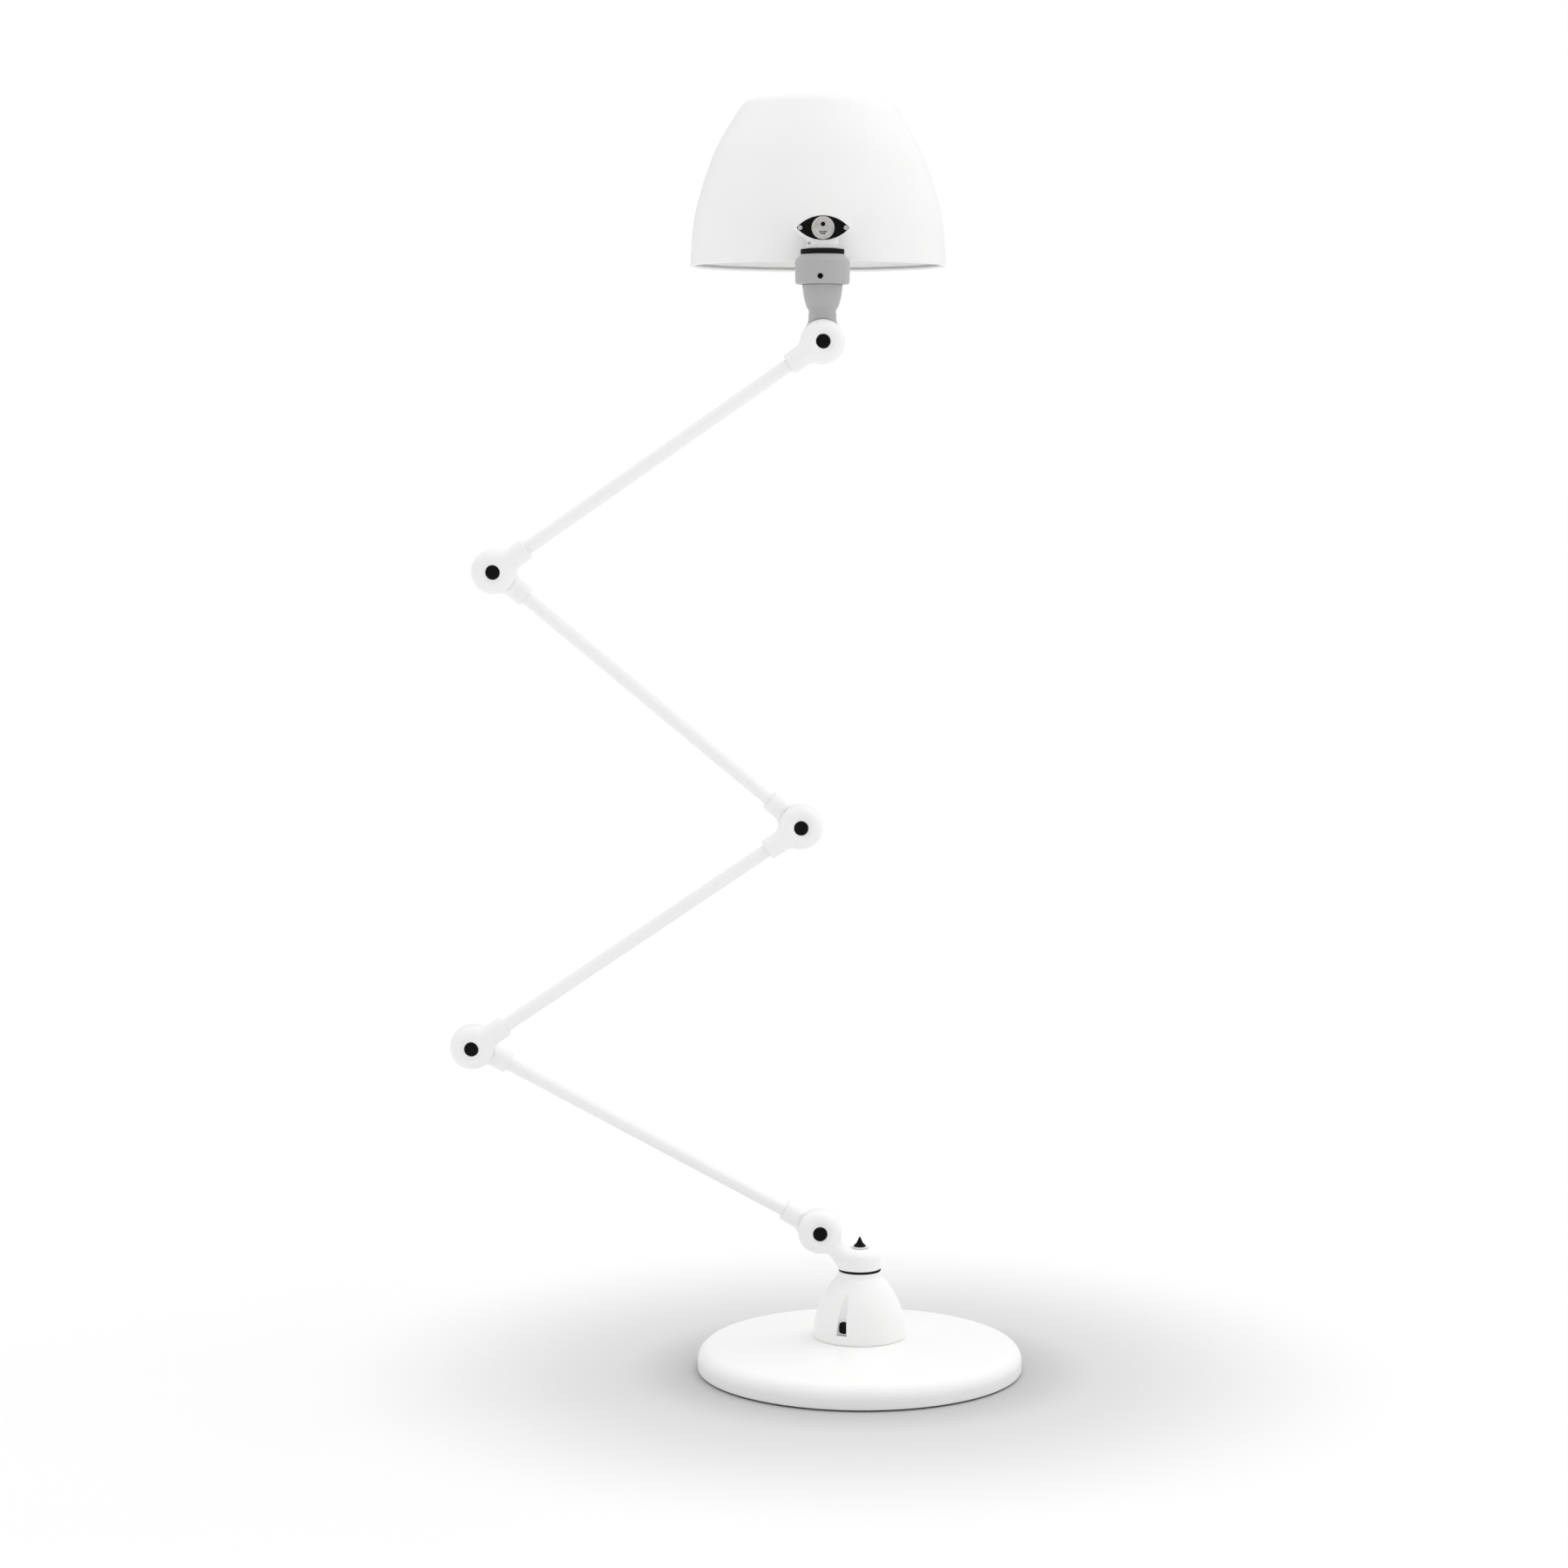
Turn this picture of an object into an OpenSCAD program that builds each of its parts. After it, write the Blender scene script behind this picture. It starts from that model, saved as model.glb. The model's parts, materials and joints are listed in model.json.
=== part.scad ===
// Floor lamp with four jointed arms on a round weighted base.
// Millimetres. +Z is up, the arms fold in the XZ plane, and -Y is the front.
// The origin is the centre of the base, on the floor.

/* [Base] */
// Radius of the round base
base_r = 186.5; // [180:0.5:200]
// Height of the base cover under the bell
base_h = 39; // [37:0.5:42]
// Radius of the rounded edge of the base cover
base_edge_r = 17; // [14:0.5:18]
// Radius of the bell at its foot
bell_r = 53.2; // [51:0.2:56]
// Height of the bell's top face above the floor
bell_top = 115.6; // [115:0.2:118]
// Radius of the bell's outline
bell_arc_r = 103; // [100:1:108]
// Thickness of the pressed sheet of the cover and the bell
sheet = 2.5; // [2:0.1:3]
// Angle of the switch recess around the bell, from +X
switch_angle = -116; // [-130:1:-100]

/* [Pivots] */
// Distance of the first pivot from the swivel axis, towards -X
first_pivot_x = 46; // [44:0.5:50]
// Height of the first pivot above the floor
first_pivot_z = 162; // [160:0.5:170]

/* [Arms] */
// Distance between the two pivots of an arm
arm_length = 451; // [420:1:480]
// Outer diameter of the arm tubes
tube_d = 15; // [14:0.5:16]
// Wall of the arm tubes
tube_wall = 1.5; // [1:0.1:2]
// Length of tube inside a collar
tube_grip = 20; // [16:1:22]
// Diameter of the collars
collar_d = 24; // [22:0.5:24]
// Distance from a pivot to the end of its collar
collar_reach = 46; // [44:1:50]

/* [Arm angles as built] */
// First arm, counter-clockwise from +X seen from the front
arm1_angle = 151.5; // [140:0.5:160]
// Second arm
arm2_angle = 33.9; // [25:0.1:40]
// Third arm
arm3_angle = 140.1; // [135:0.1:150]
// Fourth arm
arm4_angle = 34.8; // [25:0.1:40]

/* [Joint shells] */
// Radius of the round joint shells
shell_r = 25; // [24:0.5:26]
// Height of a shell's crown above the joint's mid-plane
shell_h = 20.5; // [20:0.1:21]
// Distance of an arm's axis from the joint's mid-plane
layer = 12.5; // [12.5:0.1:13]
// Half of the gap between two shells
half_gap = 0.3; // [0.2:0.05:0.4]
// Diameter of the round caps over the pivot bolts
cap_d = 15.6; // [14:0.2:16]

/* [Head] */
// Radius of the neck below its cone
neck_r = 15.3; // [15:0.1:16]
// Radius of the wide collar of the neck
neck_collar_r = 31; // [29:0.5:31.5]
// Distance of the shade's axis behind the head's swivel axis
shade_offset = 184.5; // [184:0.5:188]
// Radius of the shade at its rim
shade_r = 150; // [149:0.5:151]
// Height of the shade
shade_h = 192.5; // [190:0.5:196]
// Height of the shade's rim above the last pivot
rim_above_pivot = 91.6; // [91:0.2:93]
// Thickness of the shade
shade_wall = 1.8; // [1.4:0.1:2.2]

/* [Hidden] */
$fn = 96;
eps = 0.05;            // clearance between touching pieces of one body
fit = 0.1;             // radial clearance of a running fit
cut = 1;               // how far a cutting shape runs past a face

// pivots, from the base to the head
function dir(a) = [cos(a), 0, sin(a)];
P1 = [-first_pivot_x, 0, first_pivot_z];
P2 = P1 + arm_length * dir(arm1_angle);
P3 = P2 + arm_length * dir(arm2_angle);
P4 = P3 + arm_length * dir(arm3_angle);
P5 = P4 + arm_length * dir(arm4_angle);
FRONT = -1;
BACK = 1;
PIVOTS = [P1, P2, P3, P4, P5];
ARM_ANGLES = [arm1_angle, arm2_angle, arm3_angle, arm4_angle];
ARM_SIDES = [BACK, FRONT, BACK, FRONT];

// base
pad_t = 2;
plate_t = 1.5;
cover_foot = pad_t;
weight_bottom = pad_t + plate_t;
weight_top = 24;
weight_r = 176.5;
weight_bore_r = 62;
base_screw_at = 120;
base_screw_r = 3;
base_screw_angles = [30, 150, 270];
screw_head_r = 6;
seat_r = bell_r + 1;
dome_drop = 11;
gland_z = 12;
gland_bore_r = 3.6;
gland_body_r = 6;
bell_screw_at = 44;
bell_screw_r = 2.5;
bell_screw_angles = [90, 210, 330];
bell_curve_top = bell_top - 6;
bell_roof_t = 3.5;
edge_blend = 79;       // angle at which the rounded edge meets the domed top

// switch, in the plane of its recess with +X outwards
recess_foot = [bell_r - 1, 0, 50.5];
recess_tip = [bell_r - 14.7, 0, 97];
recess_foot_r = 6.2;
recess_tip_r = 2.6;
recess_wall = 2.4;
lever_at = [bell_r - 12.9, 0, 57];
lever_r = 7;
lever_w = 9.2;
lever_gap = 0.4;
lever_pin_r = 2;

// base swivel
gasket_r = 24.5;
gasket_t = 2.4;
dome_foot = bell_top + gasket_t + fit;
dome_side = dome_foot + 13;
dome_top = dome_foot + 23.9;
dome_face_r = 10;
washer_t = 1.4;
post_r = 6;
post_bore_r = 4;
post_nut_r = 9;
post_nut_t = 4;

// joint shells
shell_side = 7;
face_r = 13.5;
dish_depth = 1;
cavity_r = shell_r - 4.7;
cavity_h = 12.5;
boss_r = 8.5;
disc_t = 4;
disc_r = cavity_r - 0.5;
bolt_r = 4;
head_h = 4;
counterbore_h = 14;
cap_seat_r = cap_d / 2 + 0.3;
collar_r = collar_d / 2;
lead_r = 2.2;
lead_bore_r = 6;
turning_gap = 0.6;     // room around a piece that turns against a casting

// head, heights above the last pivot
cone_h = 64;
spigot_r = 18;
spigot_h = 92;
shoulder_h = 90;
collar_top = 97.5;
collar_screw_x = -3.2;
collar_screw_h = 72.4;
collar_screw_r = 3;
head_gasket_r = 24.6;
bracket_foot = 103.4;
bracket_r = 18;
bracket_room_h = 113;  // floor of the room that the nut turns in
plate_h = 126;
lens_a = 31;
lens_b = 15;
name_plate_a = 29.5;
name_plate_b = 13.5;
name_plate_t = 1.2;
plate_disc_t = 0.9;
rivet_x = 25.5;
rivet_r = 1.2;
bracket_front = -18.5; // from the swivel axis
head_x = P5.x;
head_y = layer;
head_z = P5.z;
shade_y = head_y + shade_offset;
rim_z = head_z + rim_above_pivot;
stem_z = head_z + plate_h;
plate_y = head_y + bracket_front - name_plate_t;
stem_r = 8;
stem_bore_r = 4.5;
stem_end = 64;
wall_y = shade_y - shade_r + 3; // the shade's wall where the stem goes through it
nut_t = 4;
holder_y = wall_y + nut_t + 4;
holder_len = 46;
holder_r = 20;
bulb_cap_r = 13;
bulb_y = holder_y + holder_len - 2;
bulb_r = 28;

// shade outline: a straight skirt, a long arc and a rounded top corner
skirt_h = 59;
skirt_r = shade_r - 5.4;
brow_h = 177.5;
brow_r = 95.5;
brow_bulge = 7;
crown_r = 71;
crown_from = 25;       // angle at which the top corner begins

// ---- shared shapes ----

// Puts a child at a pivot. The child is drawn with the joint's mid-plane at z = 0, the
// crown of its shell towards +Z and its arm along +X.
module at_pivot(p, angle, side) {
    translate(p)
        rotate([-90 * side, 0, 0])
            rotate([0, 0, -side * angle])
                children();
}

// Puts a child, drawn along +X from a pivot, on the axis of arm n (0 to 3).
module on_arm(n) {
    translate(PIVOTS[n] + [0, ARM_SIDES[n] * layer, 0])
        rotate([0, -ARM_ANGLES[n], 0])
            rotate([0, 90, 0])
                children();
}

// Round bar from point p to point q.
module bar(p, q, r1, r2) {
    d = q - p;
    translate(p)
        rotate([0, acos(d.z / norm(d)), atan2(d.y, d.x)])
            cylinder(h = norm(d), r1 = r1, r2 = r2);
}

// Tube along +Z.
module pipe(h, r, bore) {
    difference() {
        cylinder(h = h, r = r);
        translate([0, 0, -cut])
            cylinder(h = h + 2 * cut, r = bore);
    }
}

// Quarter ellipse from [r_face + a, z] up to [r_face, z + b].
function quarter(r_face, z, a, b, step = 9) =
    [for (t = [0 : step : 90]) [r_face + a * cos(t), z + b * sin(t)]];

// ---- joints ----

shell_outline = concat(
    [[0, half_gap], [shell_r, half_gap]],
    quarter(face_r, shell_side, shell_r - face_r, shell_h - shell_side),
    [[face_r - 3, shell_h - dish_depth], [0, shell_h - dish_depth]]
);

// Solid half of a joint, before it is hollowed.
module shell_blank() {
    rotate_extrude()
        polygon(shell_outline);
}

// Everything that is cut from a shell: room for the contact disc and the leads, the
// bolt's bore and the seat of its head and cap.
module shell_cuts() {
    difference() {
        translate([0, 0, -cut])
            cylinder(h = cavity_h + cut, r = cavity_r);
        translate([0, 0, disc_t / 2 + 0.3])
            cylinder(h = cavity_h, r = boss_r);
    }
    translate([0, 0, -cut])
        cylinder(h = shell_h + 2 * cut, r = bolt_r + fit);
    translate([0, 0, counterbore_h])
        cylinder(h = shell_h, r = cap_seat_r);
}

// Shell with the collar that holds a tube.
module collar_shell() {
    blend_start = 10;
    blend_end = 30;
    lip = 1.5;
    difference() {
        union() {
            shell_blank();
            translate([blend_start, 0, layer])
                rotate([0, 90, 0])
                    cylinder(h = blend_end - blend_start, r1 = collar_r - 4, r2 = collar_r);
            translate([blend_end, 0, layer])
                rotate([0, 90, 0])
                    cylinder(h = collar_reach - blend_end - lip, r = collar_r);
            translate([collar_reach - lip, 0, layer])
                rotate([0, 90, 0])
                    cylinder(h = lip, r1 = collar_r, r2 = collar_r - 1);
        }
        shell_cuts();
        translate([boss_r + 3, 0, layer])
            rotate([0, 90, 0])
                cylinder(h = collar_reach, r = lead_bore_r);
        translate([collar_reach - tube_grip, 0, layer])
            rotate([0, 90, 0])
                cylinder(h = tube_grip + cut, r = tube_d / 2 + eps);
    }
}

module lower_shell(n) {
    color("white")
        at_pivot(PIVOTS[n], ARM_ANGLES[n], ARM_SIDES[n])
            collar_shell();
}

module upper_shell(n) {
    color("white")
        at_pivot(PIVOTS[n + 1], ARM_ANGLES[n] + 180, ARM_SIDES[n])
            collar_shell();
}

module arm_tube(n) {
    inset = collar_reach - tube_grip;
    color("white")
        on_arm(n)
            translate([0, 0, inset])
                pipe(arm_length - 2 * inset, tube_d / 2, tube_d / 2 - tube_wall);
}

module arm_leads(n) {
    inset = cavity_r - 1.5;
    color("gray")
        on_arm(n)
            translate([0, 0, inset])
                cylinder(h = arm_length - 2 * inset, r = lead_r, $fn = 24);
}

// Pivot bolt with its hexagon socket, and the nut on its far end.
module joint_bolt(n) {
    socket_r = 3.4;
    head_r = 6.5;
    nut_r = 7.4;
    seat = counterbore_h + eps;
    color("silver")
        at_pivot(PIVOTS[n], 0, FRONT) {
            difference() {
                union() {
                    translate([0, 0, -seat - head_h])
                        cylinder(h = 2 * seat + head_h, r = bolt_r);
                    translate([0, 0, seat])
                        cylinder(h = head_h, r = head_r);
                }
                translate([0, 0, seat + head_h / 2])
                    cylinder(h = head_h, r = socket_r, $fn = 6);
            }
            translate([0, 0, -seat - head_h])
                difference() {
                    cylinder(h = head_h, r = nut_r, $fn = 6);
                    translate([0, 0, -cut])
                        cylinder(h = head_h + 2 * cut, r = bolt_r + eps);
                }
        }
}

// Insulating disc between the two shells, with the two raised tracks that carry current.
module joint_contact_disc(n) {
    track_h = 0.2;
    color("black")
        at_pivot(PIVOTS[n], 0, FRONT)
            difference() {
                union() {
                    translate([0, 0, -disc_t / 2])
                        cylinder(h = disc_t, r = disc_r);
                    for (r = [12, 17])
                        translate([0, 0, -disc_t / 2 - track_h])
                            pipe(disc_t + 2 * track_h, r + 1, r - 1);
                }
                translate([0, 0, -disc_t])
                    cylinder(h = 2 * disc_t, r = bolt_r + eps);
            }
}

// The two domed caps that close the bolt's seats.
module joint_caps(n) {
    foot = counterbore_h + eps + head_h + eps;
    side = shell_h - dish_depth + 0.3;
    crown = 1.2;
    cap_outline = concat(
        [[0, foot], [cap_d / 2, foot]],
        quarter(0, side, cap_d / 2, crown, 15)
    );
    color("black")
        for (face = [FRONT, BACK])
            at_pivot(PIVOTS[n], 0, face)
                rotate_extrude()
                    polygon(cap_outline);
}

// ---- base ----

// Outline of the base cover from its foot to the bell's seat, moved in by a distance.
function cover_curve(inset) = let (
    edge_x = base_r - base_edge_r,
    edge_z = base_h - dome_drop - base_edge_r * sin(edge_blend) + 0.9,
    arc_r = base_edge_r - inset,
    end_x = edge_x + arc_r * cos(edge_blend),
    end_z = edge_z + arc_r * sin(edge_blend),
    top_z = base_h - inset
) concat(
    [[base_r - inset, cover_foot]],
    [for (t = [0 : edge_blend / 8 : edge_blend]) [edge_x + arc_r * cos(t), edge_z + arc_r * sin(t)]],
    [for (k = [0.85 : -0.15 : 0.1]) [seat_r + k * (end_x - seat_r), top_z - k * k * (top_z - end_z)]],
    [[seat_r, top_z]]
);

module base_cover() {
    wire_hole_r = 30;
    boss_r = 8;
    boss_top = base_h - 6;
    boss_bore_top = boss_top - 2;
    inner = cover_curve(sheet);
    color("white")
        difference() {
            union() {
                rotate_extrude($fn = 144)
                    polygon(concat(
                        cover_curve(0),
                        [[wire_hole_r, base_h], [wire_hole_r, base_h - sheet]],
                        [for (i = [len(inner) - 1 : -1 : 0]) inner[i]]
                    ));
                for (a = base_screw_angles)
                    rotate([0, 0, a])
                        translate([base_screw_at, 0, weight_top + eps])
                            cylinder(h = boss_top - weight_top, r = boss_r);
            }
            for (a = base_screw_angles)
                rotate([0, 0, a])
                    translate([base_screw_at, 0, 0])
                        cylinder(h = boss_bore_top, r = base_screw_r + eps);
            for (a = bell_screw_angles)
                rotate([0, 0, a])
                    translate([bell_screw_at, 0, base_h - 2 * sheet])
                        cylinder(h = 3 * sheet, r = bell_screw_r + eps);
            translate([0, base_r - 2 * sheet, gland_z])
                rotate([-90, 0, 0])
                    cylinder(h = 4 * sheet, r = gland_body_r + eps);
        }
}

// Cast ballast ring with a channel for the supply lead.
module base_weight() {
    channel_w = 20;
    channel_h = 19;
    color("dimgray")
        difference() {
            translate([0, 0, weight_bottom])
                pipe(weight_top - weight_bottom, weight_r, weight_bore_r);
            for (a = base_screw_angles)
                rotate([0, 0, a])
                    translate([base_screw_at, 0, 0])
                        cylinder(h = 2 * weight_top, r = base_screw_r + eps);
            translate([-channel_w / 2, weight_bore_r - 5, weight_bottom - cut])
                cube([channel_w, base_r, channel_h + cut]);
        }
}

module base_plate() {
    color("silver")
        difference() {
            translate([0, 0, pad_t])
                cylinder(h = plate_t, r = base_r - sheet - 0.4);
            for (a = base_screw_angles)
                rotate([0, 0, a])
                    translate([base_screw_at, 0, 0])
                        cylinder(h = weight_top, r = base_screw_r + eps);
        }
}

// Soft disc that the lamp stands on, with blind pockets over the screw heads.
module base_pad() {
    pad_r = base_r - 6;
    pocket_r = screw_head_r + 0.5;
    pocket_floor = 0.4;
    color("black")
        difference() {
            cylinder(h = pad_t, r = pad_r);
            for (a = base_screw_angles)
                rotate([0, 0, a])
                    translate([base_screw_at, 0, pocket_floor])
                        cylinder(h = pad_t, r = pocket_r);
        }
}

module base_screws() {
    screw_foot = 0.5;
    screw_top = base_h - 9;
    socket_r = 2.3;
    socket_top = 1.3;
    color("silver")
        for (a = base_screw_angles)
            rotate([0, 0, a])
                translate([base_screw_at, 0, 0])
                    difference() {
                        translate([0, 0, screw_foot])
                            union() {
                                cylinder(h = pad_t - screw_foot, r = screw_head_r);
                                cylinder(h = screw_top - screw_foot, r = base_screw_r);
                            }
                        cylinder(h = socket_top, r = socket_r, $fn = 6);
                    }
}

// Soft bush in the back edge of the cover, where the supply lead comes in.
module cable_gland() {
    flange_t = 2.5;
    flange_r = 8.5;
    barb_t = 3.4;
    barb_y = base_r - sheet - 5;
    nose = base_r + flange_t + 2;
    color("black")
        translate([0, 0, gland_z])
            rotate([-90, 0, 0])
                difference() {
                    union() {
                        translate([0, 0, barb_y])
                            cylinder(h = barb_t, r1 = flange_r, r2 = gland_body_r);
                        translate([0, 0, barb_y])
                            cylinder(h = nose - barb_y, r = gland_body_r);
                        translate([0, 0, base_r + eps])
                            cylinder(h = flange_t, r1 = flange_r, r2 = flange_r - 1);
                    }
                    translate([0, 0, barb_y - cut])
                        cylinder(h = base_r, r = gland_bore_r);
                }
}

// ---- bell and switch ----

function bell_radius(z) = bell_r - bell_arc_r + sqrt(bell_arc_r ^ 2 - (z - base_h) ^ 2);
function bell_curve(inset, top) =
    [for (k = [0 : 0.1 : 1]) let (z = base_h + k * (top - base_h)) [bell_radius(z) - inset, z]];

// Puts a child, drawn in the plane y = 0 with +X outwards, at the switch.
module at_switch() {
    rotate([0, 0, switch_angle])
        children();
}

// Tapered shape that leans with the bell's wall.
module recess(grow) {
    bar(recess_foot, recess_tip, recess_foot_r + grow, recess_tip_r + grow);
}

module base_bell() {
    flange_t = 4;
    flange_in = 15;
    flange_top = base_h + flange_t;
    window_gap = 0.6;
    color("white")
        difference() {
            union() {
                difference() {
                    rotate_extrude()
                        polygon(concat(
                            [[0, base_h]],
                            bell_curve(0, bell_curve_top),
                            [[gasket_r + 0.4, bell_curve_top + 1.5], [gasket_r, bell_top], [0, bell_top]]
                        ));
                    rotate_extrude()
                        polygon(concat(
                            [[0, base_h - cut], [bell_r - flange_in, base_h - cut]],
                            [[bell_r - flange_in, flange_top], [bell_radius(flange_top) - sheet, flange_top]],
                            [for (p = bell_curve(sheet, bell_curve_top - 3)) if (p.y > flange_top) p],
                            [[gasket_r - sheet, bell_top - bell_roof_t], [0, bell_top - bell_roof_t]]
                        ));
                }
                intersection() {
                    at_switch()
                        recess(recess_wall);
                    rotate_extrude()
                        polygon(concat([[0, base_h]], bell_curve(0.3, bell_curve_top), [[0, bell_curve_top]]));
                }
            }
            at_switch()
                recess(0);
            // window that the lever's drum turns in
            at_switch()
                translate(lever_at)
                    rotate([90, 0, 0])
                        cylinder(h = lever_w + 2 * lever_gap, r = lever_r + window_gap, center = true);
            for (a = bell_screw_angles)
                rotate([0, 0, a])
                    translate([bell_screw_at, 0, base_h - cut])
                        cylinder(h = flange_t + 4 * cut, r = bell_screw_r + eps);
            translate([0, 0, bell_top - 2 * bell_roof_t])
                cylinder(h = 3 * bell_roof_t, r = post_r + eps);
        }
}

module bell_screws() {
    head_t = 3;
    head_r = 4.5;
    screw_len = head_t + 9;
    socket_r = 2;
    socket_depth = 1.8;
    head_foot = base_h - sheet - head_t;
    color("silver")
        for (a = bell_screw_angles)
            rotate([0, 0, a])
                translate([bell_screw_at, 0, head_foot])
                    difference() {
                        union() {
                            cylinder(h = screw_len, r = bell_screw_r);
                            cylinder(h = head_t, r = head_r);
                        }
                        translate([0, 0, -cut])
                            cylinder(h = cut + socket_depth, r = socket_r, $fn = 6);
                    }
}

// Housing of the switch: two cheeks, a back and the pin that the lever rocks on.
module switch_body() {
    cheek_t = 3;
    body_w = lever_w + 2 * cheek_t + 2 * lever_gap;
    body_h = 24;
    body_x = lever_at.x - lever_r - 8;
    slot_x = lever_at.x - lever_r - 1;
    cheek_end = lever_at.x - 1;
    color("dimgray")
        at_switch() {
            difference() {
                union() {
                    translate([body_x, -body_w / 2, lever_at.z - body_h / 2])
                        cube([cheek_end - body_x, body_w, body_h]);
                    translate(lever_at)
                        rotate([90, 0, 0])
                            cylinder(h = body_w, r = lever_pin_r + 0.7, center = true);
                }
                translate([slot_x, -lever_w / 2 - lever_gap, lever_at.z - body_h])
                    cube([body_w * 3, lever_w + 2 * lever_gap, 2 * body_h]);
            }
            translate(lever_at)
                rotate([90, 0, 0])
                    cylinder(h = body_w - 1, r = lever_pin_r, center = true);
        }
}

// Rocking lever: a drum segment with a thumb ridge.
module switch_lever() {
    ridge_r = 1.2;
    ridge_angle = 18;
    color("black")
        at_switch()
            translate(lever_at)
                difference() {
                    union() {
                        intersection() {
                            rotate([90, 0, 0])
                                cylinder(h = lever_w, r = lever_r, center = true);
                            translate([0, -lever_w, -lever_r])
                                cube([lever_r * 2, 2 * lever_w, 2 * lever_r]);
                        }
                        rotate([90, 0, 0])
                            cylinder(h = lever_w, r = 1.8 * lever_pin_r, center = true);
                        rotate([0, -ridge_angle, 0])
                            translate([lever_r - 0.4, 0, 0])
                                rotate([90, 0, 0])
                                    cylinder(h = lever_w - 2, r = ridge_r, center = true);
                    }
                    rotate([90, 0, 0])
                        cylinder(h = 2 * lever_w, r = lever_pin_r + fit / 2, center = true);
                }
}

// ---- base swivel ----

// Hexagon nut that holds a swivel together.
module post_nut() {
    difference() {
        cylinder(h = post_nut_t, r = post_nut_r, $fn = 6);
        translate([0, 0, -cut])
            cylinder(h = post_nut_t + 2 * cut, r = post_r + eps);
    }
}

// Hollow post on the bell with a foot flange and a side window for the leads, and the
// nut that holds the elbow's dome down on it.
module swivel_post() {
    flange_t = 4;
    flange_r = 12;
    foot = bell_top - bell_roof_t - flange_t - eps;
    window_r = 2.5;
    window_z = dome_foot + 5;
    color("silver") {
        difference() {
            translate([0, 0, foot])
                union() {
                    cylinder(h = dome_top - foot, r = post_r);
                    cylinder(h = flange_t, r = flange_r);
                }
            translate([0, 0, foot - cut])
                cylinder(h = dome_top, r = post_bore_r);
            translate([-post_r, 0, window_z])
                rotate([0, 90, 0])
                    cylinder(h = 3 * post_r, r = window_r, center = true);
        }
        translate([0, 0, dome_top - post_nut_t - 0.3])
            post_nut();
    }
}

module swivel_gasket() {
    color("black")
        translate([0, 0, bell_top])
            pipe(gasket_t, gasket_r - 0.3, post_r + 2);
}

module cap_washer() {
    color("white")
        translate([0, 0, dome_top + fit])
            pipe(washer_t, dome_face_r, post_bore_r);
}

// Pointed cap with a stem that plugs the top of the post.
module dome_cap() {
    foot = dome_top + fit + washer_t;
    stem_foot = foot - 8;
    cap_r = 7;
    cap_h = 11;
    color("black")
        rotate_extrude()
            polygon([
                [0, stem_foot], [post_bore_r - fit, stem_foot], [post_bore_r - fit, foot],
                [cap_r, foot], [cap_r, foot + 1], [3.8, foot + 4.2],
                [1.8, foot + 8.4], [1, foot + cap_h - 0.4], [0, foot + cap_h]
            ]);
}

// Dome on the post, the first joint's front shell, and the bent arm between them.
module elbow() {
    arm_r = 12;
    lead_way_r = 4.5;
    hollow_r = 18;
    hollow_h = 12;
    bearing_r = post_r + 3;
    nut_seat_r = post_nut_r + 0.3;
    nut_seat_h = post_nut_t + 0.6;
    crown = dome_top + 0.3;
    from = P1 + [0, FRONT * layer, 0];
    to = [-8, -3, dome_foot + 2];
    color("white")
        difference() {
            union() {
                at_pivot(P1, 0, FRONT)
                    shell_blank();
                bar(from + 0.25 * (to - from), to, arm_r - 3, arm_r);
                rotate_extrude()
                    polygon(concat(
                        [[0, dome_foot], [gasket_r, dome_foot]],
                        quarter(dome_face_r, dome_side, gasket_r - dome_face_r, crown - dome_side),
                        [[0, crown]]
                    ));
            }
            at_pivot(P1, 0, FRONT)
                shell_cuts();
            // room for the back shell that turns against this one
            at_pivot(P1, 0, BACK)
                translate([0, 0, -half_gap])
                    cylinder(h = 2 * shell_h, r = shell_r + turning_gap);
            bar(from + 0.3 * (to - from), to, lead_way_r, lead_way_r);
            translate([0, 0, dome_foot - cut])
                difference() {
                    cylinder(h = hollow_h + cut, r = hollow_r);
                    cylinder(h = hollow_h + 2 * cut, r = bearing_r);
                }
            // flat seat of the washer
            translate([0, 0, dome_top])
                cylinder(h = shell_r, r = dome_face_r + turning_gap);
            translate([0, 0, dome_foot - cut])
                cylinder(h = dome_top, r = post_r + fit);
            translate([0, 0, dome_top - nut_seat_h])
                cylinder(h = nut_seat_h + cut, r = nut_seat_r);
            // flat foot under the dome
            translate([0, 0, dome_foot - 2 * arm_r])
                cylinder(h = 2 * arm_r, r = 2 * gasket_r);
        }
}

// ---- head ----

module at_head() {
    translate([head_x, head_y, head_z])
        children();
}

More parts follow.
